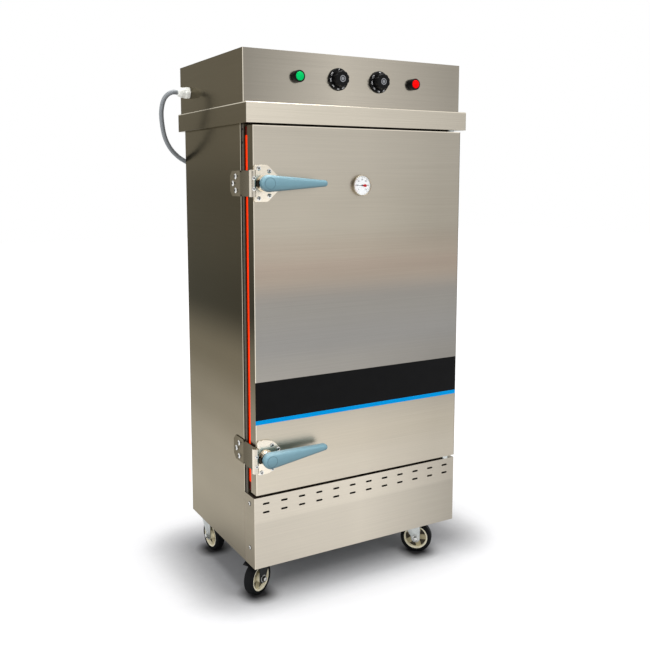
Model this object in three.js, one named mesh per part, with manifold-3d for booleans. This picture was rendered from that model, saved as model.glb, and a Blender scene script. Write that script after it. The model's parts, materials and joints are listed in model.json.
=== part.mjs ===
// Rice steamer cabinet: an insulated steel cabinet with one door, two lever latches, a heated
// water tank under twelve tray rails, a control box on top and four swivel casters.
// Millimetres, +Z up. The origin is on the floor, under the middle of the cabinet.
import * as THREE from 'three';
import { mergeVertices } from 'three/addons/utils/BufferGeometryUtils.js';
import Module from 'manifold-3d';

const wasm = await Module();
wasm.setup();

// Cabinet body. Y counts from the front face of the lower panel, X from the middle of the cabinet.
const cabinetWidth = 700;
const cabinetDepth = 490;
const skirtHeight = 116;
const outerSheet = 1.5;
const linerSheet = 1.2;
const seatGap = 0.3;
const cutOverrun = 4;
const sideSetback = 62;
const sideReturn = 15;
const frameDepth = 17;
const frameSideInset = 2;

// Lower panel with its two rows of air slots
const lowerPanelHeight = 207;
const lowerPanelLip = 15;
const slotLength = 21;
const slotHeight = 5.5;
const slotsPerRow = 12;
const slotEndMargin = 37;
const slotRowDepth = 20;
const slotRowPitch = 25;
const slotArcSteps = 2;

// Door
const doorHeight = 1013;
const doorGapBelow = 10;
const doorGapAbove = 6;
const doorSideInset = 4;
const doorProud = 6;
const doorThickness = 33;
const doorSheet = 1.2;
const panelEmbossDepth = 8;
const panelEmbossMarginX = 56;
const panelEmbossMarginZ = 29;
const panelEmbossSlope = 12;
const gasketWidth = 12;
const gasketInset = 2;
const gasketEdge = 2;

// Pivot pins of the door
const pivotInset = 27;
const pivotSetback = 16;
const pivotRadius = 5;
const pivotDepth = 15;
const pivotCollarRadius = 12;
const pivotClearance = 0.5;
const pinSides = 16;

// Cap band and control box
const bandHeight = 54;
const bandFrontOverhang = 9;
const bandSideOverhang = 15;
const bandBackOverhang = 18;
const bandEdge = 2;
const controlHeight = 141;
const controlSetback = 22;
const controlSideOverhang = 10;
const controlBackOverhang = 6;

// Steam chamber
const chamberWallThickness = 44;
const chamberBackInset = 40;
const chamberFloorDrop = 30;
const chamberCeilingRise = 14;
const frameSill = 42;
const frameLintel = 36;
const linerFlange = 18;
const insulationBottom = 200;
const insulationFrontGap = 2;

// Water tank, steam deck and heater
const tankSheet = 1.5;
const tankDepth = 130;
const tankMarginX = 27;
const tankMarginY = 28;
const tankFlange = 10;
const deckSheet = 1.5;
const deckMargin = 7;
const deckSlotLength = 70;
const deckSlotWidth = 14;
const deckSlotColumns = 4;
const deckSlotRows = 3;
const heaterRadius = 5.5;
const heaterSides = 6;
const heaterRuns = 4;
const heaterBendRadius = 34;
const heaterBendSteps = 6;
const heaterRise = 28;
const heaterEndMargin = 50;
const heaterNutRadius = 13;
const heaterNutLength = 5;
const heaterTail = 26;

// Drain under the tank
const drainX = 110;
const drainY = 300;
const drainRadius = 13.5;
const drainBore = 11;
const drainFlangeRadius = 22;
const drainFlangeHeight = 3;
const drainCapRadius = 18;
const drainCapHeight = 24;
const drainBottom = 70;
const drainSides = 14;

// Tray racks
const trayCount = 12;
const firstRailRise = 50;
const rackTopGap = 64;
const railWidth = 16;
const railThickness = 2.5;
const railFrontInset = 22;
const railBackInset = 12;
const postThickness = 3;
const postWidth = 22;
const postInset = 40;
const postFoot = 16;
const postHead = 40;

// Base tray and casters
const casterHeight = 130;
const traySheet = 2;
const trayRim = 34;
const casterInsetFrontLeft = 68;
const casterInsetRearLeft = 39;
const casterInsetRight = 110;
const casterInsetFront = 92;
const casterInsetBack = 50;
const casterPlateLength = 88;
const casterPlateWidth = 68;
const casterPlateThickness = 3;
const raceRadius = 27;
const raceHeight = 9;
const raceGap = 0.5;
const raceSides = 20;
const crownThickness = 4;
const crownRaceHeight = 4;
const wheelRadius = 50;
const tyreWidth = 30;
const tyreThickness = 12;
const tyreShoulder = 4;
const wheelSides = 32;
const rimThickness = 5;
const rimWidth = 27;
const hubRadius = 12;
const hubWidth = 33;
const hubSides = 12;
const spokeCount = 5;
const spokeWidth = 9;
const spokeDepth = 14;
const axleRadius = 5;
const axleClearance = 0.5;
const axleNutRadius = 8.5;
const axleNutLength = 6;
const casterTrail = 28;
const forkSheet = 3;
const forkClearance = 2;
const forkEndRadius = 14;
const forkFrontReach = 22;
const forkArcSteps = 8;
const pedalRodRadius = 2;
const pedalRodOffset = 21;
const pedalRodDrop = 9;
const pedalEarReach = 27;
const pedalEarHeight = 17;
const pedalWidth = 32;
const pedalReach = 48;
const pedalThickness = 6;
const pedalClearance = 0.5;
const pedalDrop = 6;

// Lever latches
const latchPivotX = 32;
const upperLatchDrop = 153;
const lowerLatchRise = 108;
const latchPlateThickness = 4;
const latchPlateHeight = 98;
const latchPlateLeft = 26;
const latchPlateTopRun = 14;
const latchPlateRight = 46;
const latchPlateNose = 18;
const latchPlateCorner = 6;
const latchFanCorner = 5;
const latchFanSteps = 8;
const plateCornerSteps = 4;
const latchBossRadius = 22;
const latchBossTop = 18;
const latchBossHeight = 13;
const latchBossSides = 24;
const spindleRadius = 7;
const spindleClearance = 0.4;
const spindleSink = 8;
const camThickness = 5;
const camRadius = 15;
const camReach = 28.3;
const camHalfHeight = 8;
const leverThickness = 25;
const leverRadius = 22.5;
const leverTipRadius = 9;
const leverLength = 167;
const leverEdge = 4;
const leverArcSteps = 8;
const capRingOuter = 15.5;
const capRingInner = 13.8;
const capRingDepth = 0.8;
const lowerLatchTilt = 4;

// Keepers on the side of the body
const keeperSheet = 3;
const keeperHeight = 70;
const keeperBackReach = 68;
const keeperRollerRadius = 9;
const keeperRollerX = 6;
const keeperRollerY = 25;
const keeperRearCut = 14;
const keeperNeckNotch = 5;
const keeperSides = 24;

// Dial thermometer in the door
const thermometerX = -9;
const thermometerDrop = 159;
const thermometerRadius = 30;
const thermometerDepth = 10;
const thermometerRim = 3;
const thermometerRecess = 4;
const thermometerStemRadius = 4;
const thermometerStemReach = 15;
const thermometerPinRadius = 1.2;
const thermometerPinHeight = 2.2;
const thermometerSides = 32;
const needleLength = 21;
const needleTail = 12.5;
const needleTailWidth = 5.5;
const needleNeckWidth = 2.6;
const needleThickness = 0.8;
const needleHubRadius = 3.2;
const needleTurn = 177;

// Lamps, knobs and what they turn, on the control box
const controlRowRise = 75;
const greenLampX = -198;
const redLampX = 186;
const timerKnobX = -69;
const thermostatKnobX = 67;
const lampSides = 24;
const lampBezelRadius = 16.5;
const lampBezelReach = 17;
const lampBezelEdge = 1;
const lampRecess = 4;
const lampBarrelRadius = 11;
const lampBarrelLength = 34;
const lampLensRadius = 13.5;
const lampLensCollar = 3;
const lampLensDome = 4;
const knobSkirtRadius = 31;
const knobSkirtThickness = 5;
const knobRadius = 22.5;
const knobReach = 27;
const knobFlutes = 10;
const knobFluteDepth = 1.8;
const knobFluteSteps = 4;
const knobEdge = 1.2;
const knobStandoff = 1.5;
const knobInsertRadius = 9;
const knobInsertRecess = 1;
const knobBoreDepth = 18;
const shaftRadius = 3;
const shaftClearance = 0.4;
const bushRadius = 5;
const shaftSides = 12;
const timerUnit = [62, 46, 52];
const thermostatUnit = [48, 38, 44];

// Cord, its gland, coil and plug
const glandSetback = 75;
const glandRise = 59;
const glandHexRadius = 19;
const glandHexThickness = 14;
const glandDomeRadius = 15.5;
const glandNoseRadius = 11;
const glandReach = 37;
const glandThreadRadius = 10;
const glandThreadReach = 12;
const glandNutThickness = 5;
const cordDiameter = 14;
const cordSides = 8;
const cordSteps = 62;
const coilSides = 6;
const coilStepsPerTurn = 24;
const coilMeanRadius = 76;
const coilGap = 1;
const coilTurnsPerLayer = 1.25;
const coilReverseTurns = 0.5;
const coilLeadSteps = 1;
const coilX = -40;
const coilBackOffset = 110;
const coilPlugLead = 70;
const plugRadius = 24;
const plugCollarRadius = 27;
const plugCollarLength = 30;
const plugLength = 82;
const plugNeckRadius = 10;
const plugNeckLength = 22;
const plugWall = 4;
const plugPinRadius = 3;
const plugPinCircle = 12;
const plugPinCount = 4;
const plugPinDepth = 24;
const plugSides = 20;

// Free stretch of the cord: out of the gland, round the rear corner and down behind the back
const cordRoute = [
  [-412, 421, 1465], [-424, 428, 1459], [-434, 438, 1444], [-438, 452, 1412], [-432, 466, 1372],
  [-418, 481, 1330], [-396, 494, 1298], [-368, 503, 1274], [-336, 507, 1256], [-302, 508, 1234],
  [-272, 508, 1200], [-252, 508, 1150], [-242, 508, 1085], [-237, 508, 1000], [-234, 508, 900],
  [-232, 508, 780], [-231, 508, 640], [-230, 508, 500], [-230, 508, 360], [-230, 508, 240],
  [-230, 508, 160], [-229, 508, 105], [-221, 509, 62], [-200, 511, 29], [-168, 513, 11.5],
  [-132, 515, 7.3], [-100, 515, 7.3],
];

// Places worked out from the sizes
const halfWidth = cabinetWidth / 2;
const panelTop = skirtHeight + lowerPanelHeight;
const doorBottom = panelTop + doorGapBelow;
const doorTop = doorBottom + doorHeight;
const bandBottom = doorTop + doorGapAbove;
const bandTop = bandBottom + bandHeight;
const controlBottom = bandTop + seatGap;
const controlTop = controlBottom + controlHeight;
const frameFront = sideSetback - frameDepth;
const doorFront = -doorProud;
const doorBack = doorFront + doorThickness;
const doorHalf = halfWidth - doorSideInset;
const wrapTop = bandTop - outerSheet - seatGap;
const chamberHalf = halfWidth - chamberWallThickness;
const chamberBack = cabinetDepth - chamberBackInset;
const openingBottom = doorBottom + frameSill;
const openingTop = doorTop - frameLintel;
const chamberFloor = openingBottom - chamberFloorDrop;
const chamberCeiling = openingTop + chamberCeilingRise;
const firstRailHeight = chamberFloor + firstRailRise;
const rackTop = chamberCeiling - rackTopGap;
const trayPitch = (rackTop - postHead - firstRailHeight) / (trayCount - 1);
const tankTop = chamberFloor + seatGap + tankSheet;
const tankFloor = tankTop - tankDepth;
const pivotX = doorHalf - pivotInset;
const pivotY = doorFront + pivotSetback;
const trayFloorBottom = casterHeight + seatGap;
const controlFront = controlSetback;
const controlHalf = halfWidth + controlSideOverhang;
const latchX = latchPivotX - halfWidth;
const upperLatchHeight = doorTop - upperLatchDrop;
const lowerLatchHeight = doorBottom + lowerLatchRise;
const thermometerHeight = doorTop - thermometerDrop;
const controlRowHeight = bandTop + controlRowRise;
const glandHeight = bandTop + glandRise;
const glandY = cabinetDepth + controlBackOverhang - glandSetback;
const latchFront = doorFront - seatGap - latchPlateThickness - latchBossHeight;
const camBack = latchFront - seatGap;
const leverBack = camBack - camThickness - seatGap;
const leverFront = leverBack - leverThickness;
const frontmost = leverFront;
const backmost = cabinetDepth + bandBackOverhang;

// Finishes
const finish = (color, roughness, metalness) =>
  new THREE.MeshStandardMaterial({ color, roughness, metalness, flatShading: true });
const brushedSteel = finish(0xc2bdb0, 0.38, 0.9);
const linerSteel = finish(0xcfcfca, 0.28, 0.95);
const galvanised = finish(0xb9c2bf, 0.45, 0.8);
const foam = finish(0xe6d9b8, 0.95, 0);
const redRubber = finish(0xe8380d, 0.55, 0);
const blackRubber = finish(0x17181a, 0.7, 0);
const creamPlastic = finish(0xe4ddc0, 0.5, 0);
const blackPlastic = finish(0x1a1b1e, 0.4, 0);
const leverPlastic = finish(0x7fadbd, 0.42, 0);
const whitePlastic = finish(0xeeece2, 0.5, 0);
const greyCord = finish(0x9aa1a6, 0.5, 0);
const greenLens = finish(0x14b866, 0.25, 0);
const redLens = finish(0xe8161a, 0.25, 0);
const darkSteel = finish(0x3a3a38, 0.5, 0.7);
const dialWhite = finish(0xf2f2ee, 0.4, 0.1);
const needleRed = finish(0xc8201c, 0.5, 0);

// Shape helpers
const part = new THREE.Group();
part.position.y = -(frontmost + backmost) / 2;

function signedVolume(points, index) {
  const [a, b, c] = [new THREE.Vector3(), new THREE.Vector3(), new THREE.Vector3()];
  let total = 0;
  for (let i = 0; i < index.length; i += 3) {
    a.fromArray(points, 3 * index[i]);
    b.fromArray(points, 3 * index[i + 1]);
    c.fromArray(points, 3 * index[i + 2]);
    total += a.dot(b.cross(c));
  }
  return total;
}

// A closed geometry as a solid, with its poles closed and its faces pointing out
function solidFrom(geometry) {
  const bare = geometry.clone();
  bare.deleteAttribute('normal');
  bare.deleteAttribute('uv');
  const merged = mergeVertices(bare);
  const points = merged.attributes.position.array;
  const corners = merged.index.array;
  const kept = [];
  for (let i = 0; i < corners.length; i += 3) {
    const [a, b, c] = [corners[i], corners[i + 1], corners[i + 2]];
    if (a !== b && b !== c && c !== a) kept.push(a, b, c);
  }
  const triVerts = new Uint32Array(kept);
  if (signedVolume(points, triVerts) < 0) {
    for (let i = 0; i < triVerts.length; i += 3) {
      [triVerts[i + 1], triVerts[i + 2]] = [triVerts[i + 2], triVerts[i + 1]];
    }
  }
  return new wasm.Manifold(
    new wasm.Mesh({ numProp: 3, vertProperties: new Float32Array(points), triVerts }),
  );
}

function addPiece(name, solid, material, group = part) {
  const mesh = solid.getMesh();
  const geometry = new THREE.BufferGeometry();
  geometry.setAttribute('position', new THREE.BufferAttribute(mesh.vertProperties, 3));
  geometry.setIndex(new THREE.BufferAttribute(mesh.triVerts, 1));
  geometry.computeVertexNormals();
  const piece = new THREE.Mesh(geometry, material);
  piece.name = name;
  group.add(piece);
}

function box(low, high) {
  const geometry = new THREE.BoxGeometry(...high.map((value, k) => value - low[k]));
  geometry.translate(...high.map((value, k) => (value + low[k]) / 2));
  return solidFrom(geometry);
}

const unionOf = (solids) => solids.reduce((whole, next) => whole.add(next));

// Turns a geometry made along +Y so that it runs along the named direction
const turnTo = {
  up: (geometry) => geometry.rotateX(Math.PI / 2),
  front: (geometry) => geometry.rotateX(Math.PI),
  back: (geometry) => geometry,
  left: (geometry) => geometry.rotateZ(Math.PI / 2),
};

// A profile of [radius, distance] points revolved about a line through the given place
function turned(profile, sides, direction, place = [0, 0, 0]) {
  const outline = profile.map(([radius, along]) => new THREE.Vector2(radius, along));
  const geometry = new THREE.LatheGeometry(outline, sides);
  geometry.rotateY(Math.PI / sides);
  return solidFrom(turnTo[direction](geometry).translate(...place));
}

function rod(radius, from, to, sides, direction, place) {
  return turned([[0, from], [radius, from], [radius, to], [0, to]], sides, direction, place);
}

// An outline drawn in X and Z, made thick from the plane Y = back towards the front
function frontPlate(outline, back, thickness, edge = 0, curveSegments = slotArcSteps) {
  const geometry = new THREE.ExtrudeGeometry(outline, {
    depth: thickness - 2 * edge,
    bevelEnabled: edge > 0,
    bevelThickness: edge,
    bevelSize: edge,
    bevelOffset: -edge,
    bevelSegments: 1,
    curveSegments,
    steps: 1,
  });
  geometry.translate(0, 0, edge);
  geometry.rotateX(Math.PI / 2);
  return solidFrom(geometry.translate(0, back, 0));
}

// An outline drawn in X and Y, made thick upwards from the plane Z = bottom
function flatPlate(outline, bottom, thickness, curveSegments = slotArcSteps) {
  const options = { depth: thickness, bevelEnabled: false, steps: 1, curveSegments };
  return solidFrom(new THREE.ExtrudeGeometry(outline, options).translate(0, 0, bottom));
}

function rectangle(left, right, low, high) {
  const outline = new THREE.Shape();
  outline.moveTo(left, low);
  outline.lineTo(right, low);
  outline.lineTo(right, high);
  outline.lineTo(left, high);
  outline.closePath();
  return outline;
}

function slotOutline(x, y, length, height) {
  const reach = (length - height) / 2;
  const outline = new THREE.Shape();
  outline.absarc(x + reach, y, height / 2, -Math.PI / 2, Math.PI / 2, false);
  outline.absarc(x - reach, y, height / 2, Math.PI / 2, 1.5 * Math.PI, false);
  outline.closePath();
  return outline;
}

// A round tube through a list of points, with flat ends square to its first and last steps
function sweptTube(points, radius, sides) {
  const positions = [];
  const index = [];
  let across = new THREE.Vector3();
  points.forEach((point, i) => {
    const ahead = points[Math.min(i + 1, points.length - 1)].clone().sub(points[Math.max(i - 1, 0)]);
    ahead.normalize();
    if (i === 0) across.set(ahead.y, -ahead.x, 0).normalize();
    across.addScaledVector(ahead, -across.dot(ahead)).normalize();
    const side = ahead.clone().cross(across);
    for (let k = 0; k < sides; k += 1) {
      const angle = (2 * Math.PI * (k + 1 / 2)) / sides;
      const corner = point.clone().addScaledVector(across, radius * Math.cos(angle));
      corner.addScaledVector(side, radius * Math.sin(angle));
      positions.push(...corner.toArray());
    }
  });
  for (let i = 0; i + 1 < points.length; i += 1) {
    for (let k = 0; k < sides; k += 1) {
      const [here, next] = [i * sides + k, i * sides + ((k + 1) % sides)];
      index.push(here, next, next + sides, here, next + sides, here + sides);
    }
  }
  const last = (points.length - 1) * sides;
  for (let k = 1; k + 1 < sides; k += 1) {
    index.push(0, k + 1, k, last, last + k, last + k + 1);
  }
  const geometry = new THREE.BufferGeometry();
  geometry.setAttribute('position', new THREE.Float32BufferAttribute(positions, 3));
  geometry.setIndex(index);
  return solidFrom(geometry);
}

// Outer wrap: both sides and the back in one bent sheet, with a return down each front edge
function outerWrap() {
  const outer = box([-halfWidth, sideSetback, skirtHeight], [halfWidth, cabinetDepth, wrapTop]);
  const inner = box(
    [outerSheet - halfWidth, sideSetback + outerSheet, skirtHeight - cutOverrun],
    [halfWidth - outerSheet, cabinetDepth - outerSheet, wrapTop + cutOverrun],
  );
  const mouth = box(
    [sideReturn - halfWidth, sideSetback - cutOverrun, skirtHeight - cutOverrun],
    [halfWidth - sideReturn, sideSetback + outerSheet + cutOverrun, wrapTop + cutOverrun],
  );
  const toePanelRun = box(
    [-halfWidth + outerSheet, sideSetback - cutOverrun, skirtHeight - cutOverrun],
    [halfWidth - outerSheet, sideSetback + outerSheet + cutOverrun, panelTop],
  );
  return outer.subtract(inner).subtract(mouth).subtract(toePanelRun);
}

// Base tray: the floor pan with turned-up rims that the casters bolt to
function baseTray() {
  const halfTray = halfWidth - outerSheet - seatGap;
  const [front, back] = [outerSheet + seatGap, cabinetDepth - outerSheet - seatGap];
  const outer = box([-halfTray, front, trayFloorBottom], [halfTray, back, trayFloorBottom + trayRim]);
  const inner = box(
    [traySheet - halfTray, front + traySheet, trayFloorBottom + traySheet],
    [halfTray - traySheet, back - traySheet, trayFloorBottom + trayRim + cutOverrun],
  );
  const drainHole = rod(
    drainRadius + 1.5 * outerSheet, 0, casterHeight + trayRim, drainSides, 'up', [drainX, drainY, 0],
  );
  return outer.subtract(inner).subtract(drainHole);
}

// Lower front panel: a tray of sheet with side returns, top ledge, bottom lip and air slots
function lowerFrontPanel() {
  const back = sideSetback - seatGap;
  const outer = box([-halfWidth, 0, skirtHeight], [halfWidth, back, panelTop]);
  const inner = box(
    [outerSheet - halfWidth, outerSheet, skirtHeight + outerSheet],
    [halfWidth - outerSheet, back + cutOverrun, panelTop - outerSheet],
  );
  const underside = box(
    [outerSheet - halfWidth, lowerPanelLip, skirtHeight - cutOverrun],
    [halfWidth - outerSheet, back + cutOverrun, skirtHeight + outerSheet + cutOverrun],
  );
  const slotPitch = (cabinetWidth - 2 * slotEndMargin) / (slotsPerRow - 1);
  const slots = [];
  for (let column = 0; column < slotsPerRow; column += 1) {
    for (let row = 0; row < 2; row += 1) {
      const x = slotEndMargin - halfWidth + column * slotPitch;
      const z = panelTop - slotRowDepth - row * slotRowPitch;
      const outline = slotOutline(x, z, slotLength, slotHeight);
      slots.push(frontPlate(outline, outerSheet + cutOverrun, outerSheet + 2 * cutOverrun));
    }
  }
  return outer.subtract(inner).subtract(underside).subtract(unionOf(slots));
}

// Cap band: a shallow lid over the body, with a soffit above the door and lips along the sides
function capBand() {
  const halfBand = halfWidth + bandSideOverhang;
  const halfBody = halfWidth + seatGap;
  const back = cabinetDepth + bandBackOverhang;
  const outline = rectangle(-halfBand, halfBand, -bandFrontOverhang, back);
  const geometry = new THREE.ExtrudeGeometry(outline, {
    depth: bandHeight - bandEdge,
    bevelEnabled: true,
    bevelThickness: bandEdge,
    bevelSize: bandEdge,
    bevelOffset: -bandEdge,
    bevelSegments: 2,
    steps: 1,
  });
  const outer = solidFrom(geometry.translate(0, 0, bandBottom)).intersect(box(
    [-halfBand - cutOverrun, -bandFrontOverhang - cutOverrun, bandBottom],
    [halfBand + cutOverrun, back + cutOverrun, bandTop + cutOverrun],
  ));
  const inner = box(
    [outerSheet - halfBand, outerSheet - bandFrontOverhang, bandBottom + outerSheet],
    [halfBand - outerSheet, back - outerSheet, bandTop - outerSheet],
  );
  const opening = box(
    [-halfBody, sideSetback - seatGap, bandBottom - cutOverrun],
    [halfBody, cabinetDepth + seatGap, bandBottom + 2 * outerSheet],
  );
  return outer.subtract(inner).subtract(opening);
}

// Control box: an open-bottomed shell with holes for the lamps, the knob shafts and the gland
function controlBox() {
  const back = cabinetDepth + controlBackOverhang;
  const outer = box([-controlHalf, controlFront, controlBottom], [controlHalf, back, controlTop]);
  const inner = box(
    [outerSheet - controlHalf, controlFront + outerSheet, controlBottom - cutOverrun],
    [controlHalf - outerSheet, back - outerSheet, controlTop - outerSheet],
  );
  const through = [-outerSheet - cutOverrun, cutOverrun];
  const holes = [
    [greenLampX, lampBarrelRadius + seatGap, lampSides],
    [redLampX, lampBarrelRadius + seatGap, lampSides],
    [timerKnobX, bushRadius + seatGap, shaftSides],
    [thermostatKnobX, bushRadius + seatGap, shaftSides],
  ].map(([x, radius, sides]) =>
    rod(radius, ...through, sides, 'front', [x, controlFront, controlRowHeight]));
  const glandHole = rod(
    glandThreadRadius + seatGap, ...through, plugSides, 'left', [-controlHalf, glandY, glandHeight],
  );
  return outer.subtract(inner).subtract(unionOf(holes)).subtract(glandHole);
}

// Door frame: the ring that the door's gasket closes on, standing in front of the body's edges
function doorFrame() {
  const half = halfWidth - frameSideInset;
  const outer = box(
    [-half, frameFront, panelTop + seatGap], [half, sideSetback - seatGap, bandBottom - seatGap],
  );
  const opening = box(
    [-chamberHalf, frameFront - cutOverrun, openingBottom],
    [chamberHalf, sideSetback + cutOverrun, openingTop],
  );
  return outer.subtract(opening);
}

// Inner liner: the steam chamber, open at the front and over the tank, with a front flange
function innerLiner() {
  const half = chamberHalf + linerSheet;
  const floor = chamberFloor - linerSheet;
  const shell = box(
    [-half, sideSetback, floor], [half, chamberBack + linerSheet, chamberCeiling + linerSheet],
  );
  const flange = box(
    [-half - linerFlange, sideSetback, floor],
    [half + linerFlange, sideSetback + linerSheet, chamberCeiling + linerFlange],
  );
  const chamber = box(
    [-chamberHalf, sideSetback - cutOverrun, chamberFloor], [chamberHalf, chamberBack, chamberCeiling],
  );
  const tankHole = box(
    [tankMarginX - chamberHalf, sideSetback + tankMarginY, floor - cutOverrun],
    [chamberHalf - tankMarginX, chamberBack - tankMarginY / 2, chamberFloor + cutOverrun],
  );
  return shell.add(flange).subtract(chamber).subtract(tankHole);
}

// Insulation: one block of foam round the sides, back and top of the liner and beside the tank
function insulation() {
  const half = halfWidth - outerSheet - seatGap;
  const front = sideSetback + outerSheet + insulationFrontGap;
  const half2 = chamberHalf + linerSheet + seatGap;
  const block = box(
    [-half, front, insulationBottom], [half, cabinetDepth - outerSheet - seatGap, wrapTop],
  );
  const hollow = box(
    [-half2, front - cutOverrun, insulationBottom - cutOverrun],
    [half2, chamberBack + linerSheet + seatGap, chamberCeiling + linerSheet + seatGap],
  );
  return block.subtract(hollow);
}

// Water tank: a pan that hangs by its flange in the liner's floor, with a drain hole and two
// holes for the ends of the heater
const tankHalf = chamberHalf - tankMarginX - seatGap;
const tankFront = sideSetback + tankMarginY + seatGap;
const tankBack = chamberBack - tankMarginY / 2 - seatGap;
const tankMiddleY = (tankFront + tankBack) / 2;
const heaterHeight = tankFloor + tankSheet + heaterRise;
const heaterEndsY = [-1, 1].map(
  (side) => tankMiddleY + side * (heaterRuns - 1) * heaterBendRadius,
);

function waterTank() {
  const outer = box([-tankHalf, tankFront, tankFloor], [tankHalf, tankBack, tankTop]);
  const flange = box(
    [-tankHalf - tankFlange, tankFront - tankFlange, tankTop - tankSheet],
    [tankHalf + tankFlange, tankBack + tankFlange, tankTop],
  );
  const inner = box(
    [tankSheet - tankHalf, tankFront + tankSheet, tankFloor + tankSheet],
    [tankHalf - tankSheet, tankBack - tankSheet, tankTop + cutOverrun],
  );
  const drainHole = rod(
    drainBore, -cutOverrun, tankSheet + cutOverrun, drainSides, 'up', [drainX, drainY, tankFloor],
  );
  const heaterHoles = heaterEndsY.map((y) => rod(
    heaterRadius + seatGap, -cutOverrun, tankSheet + cutOverrun, shaftSides, 'left',
    [-tankHalf + tankSheet, y, heaterHeight],
  ));
  return outer.add(flange).subtract(inner).subtract(drainHole).subtract(unionOf(heaterHoles));
}

// Heater: one bent tube in four runs, with a nut inside and outside the tank wall at each end
function heatingElement() {
  const wallX = -tankHalf;
  const nearX = wallX + tankSheet + seatGap + heaterNutLength + heaterBendRadius;
  const farX = tankHalf - tankSheet - heaterEndMargin - heaterBendRadius;
  const points = [new THREE.Vector3(wallX - heaterTail, heaterEndsY[0], heaterHeight)];
  for (let run = 0; run + 1 < heaterRuns; run += 1) {
    const outward = run % 2 === 0;
    const y = heaterEndsY[0] + (2 * run + 1) * heaterBendRadius;
    for (let step = 0; step <= heaterBendSteps; step += 1) {
      const angle = Math.PI * (step / heaterBendSteps - 1 / 2);
      const reach = heaterBendRadius * Math.cos(angle);
      points.push(new THREE.Vector3(
        outward ? farX + reach : nearX - reach,
        y + heaterBendRadius * Math.sin(angle),
        heaterHeight,
      ));
    }
  }
  points.push(new THREE.Vector3(wallX - heaterTail, heaterEndsY[1], heaterHeight));
  const tube = sweptTube(points, heaterRadius, heaterSides);
  const nuts = heaterEndsY.flatMap((y) => [-seatGap - tankSheet, seatGap].map((start) => {
    const end = start < 0 ? start - heaterNutLength : start + heaterNutLength;
    return rod(heaterNutRadius, start, end, 6, 'left', [wallX, y, heaterHeight]);
  }));
  return unionOf([tube, ...nuts]);
}

// Steam deck: the slotted plate that lies on the tank's flange
function steamDeck() {
  const [left, right] = [deckMargin - chamberHalf, chamberHalf - deckMargin];
  const [front, back] = [sideSetback + deckMargin, chamberBack - deckMargin];
  const deck = rectangle(left, right, front, back);
  for (let column = 0; column < deckSlotColumns; column += 1) {
    for (let row = 0; row < deckSlotRows; row += 1) {
      const x = left + ((column + 1 / 2) / deckSlotColumns) * (right - left);
      const y = front + ((row + 1 / 2) / deckSlotRows) * (back - front);
      deck.holes.push(slotOutline(x, y, deckSlotLength, deckSlotWidth));
    }
  }
  return flatPlate(deck, tankTop + seatGap, deckSheet);
}

// Tray rack: two posts against the liner's wall, joined by twelve flat rails
function trayRack(side) {
  const wall = chamberHalf - seatGap;
  const across = (inner, outer) => (side < 0 ? [-outer, -inner] : [inner, outer]);
  const [postLeft, postRight] = across(wall - postThickness, wall);
  const [railLeft, railRight] = across(wall - railWidth, wall);
  const [railFront, railBack] = [sideSetback + railFrontInset, chamberBack - railBackInset];
  const pieces = [railFront + postInset, railBack - postInset - postWidth].map((y) =>
    box([postLeft, y, firstRailHeight - postFoot], [postRight, y + postWidth, rackTop]));
  for (let tray = 0; tray < trayCount; tray += 1) {
    const z = firstRailHeight + tray * trayPitch;
    pieces.push(box([railLeft, railFront, z - railThickness], [railRight, railBack, z]));
  }
  return unionOf(pieces);
}

// Drain: a flanged pipe from the tank's floor through the base tray, closed by a screw cap
function drainPipe() {
  const top = tankFloor - seatGap - drainBottom;
  const profile = [
    [0, 0], [drainCapRadius, 0], [drainCapRadius, drainCapHeight], [drainRadius, drainCapHeight],
    [drainRadius, top - drainFlangeHeight], [drainFlangeRadius, top - drainFlangeHeight],
    [drainFlangeRadius, top], [drainBore, top], [drainBore, drainCapHeight / 2],
    [0, drainCapHeight / 2],
  ];
  return turned(profile, drainSides, 'up', [drainX, drainY, drainBottom]);
}

// Pivot pin of the door: a collar in the gap and a shaft that enters the door's edge
function pivotPin(collarHeight, direction, base) {
  const profile = [
    [0, 0], [pivotCollarRadius, 0], [pivotCollarRadius, collarHeight], [pivotRadius, collarHeight],
    [pivotRadius, collarHeight + pivotDepth], [0, collarHeight + pivotDepth],
  ];
  const flipped = direction < 0;
  const outline = flipped ? profile.map(([radius, along]) => [radius, -along]) : profile;
  return turned(outline, pinSides, 'up', [pivotX, pivotY, base]);
}

// Holes for both pivot pins, cut from every piece of the door that they enter
function pivotHoles(extraRadius) {
  const radius = pivotRadius + pivotClearance + extraRadius;
  const depth = pivotDepth + pivotClearance + extraRadius;
  return [
    rod(radius, doorBottom - cutOverrun, doorBottom + depth, pinSides, 'up', [pivotX, pivotY, 0]),
    rod(radius, doorTop - depth, doorTop + cutOverrun, pinSides, 'up', [pivotX, pivotY, 0]),
  ];
}

// The bore for the thermometer's stem through the door
function stemHole() {
  const radius = thermometerStemRadius + seatGap;
  const place = [thermometerX, doorFront, thermometerHeight];
  return rod(radius, -cutOverrun, doorThickness + panelEmbossDepth + cutOverrun, pinSides, 'back', place);
}

// Door skin: a shallow pan, open at the back
function doorSkin() {
  const outer = box([-doorHalf, doorFront, doorBottom], [doorHalf, doorBack, doorTop]);
  const inner = box(
    [doorSheet - doorHalf, doorFront + doorSheet, doorBottom + doorSheet],
    [doorHalf - doorSheet, doorBack + cutOverrun, doorTop - doorSheet],
  );
  return outer.subtract(inner).subtract(unionOf([...pivotHoles(0), stemHole()]));
}

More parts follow.
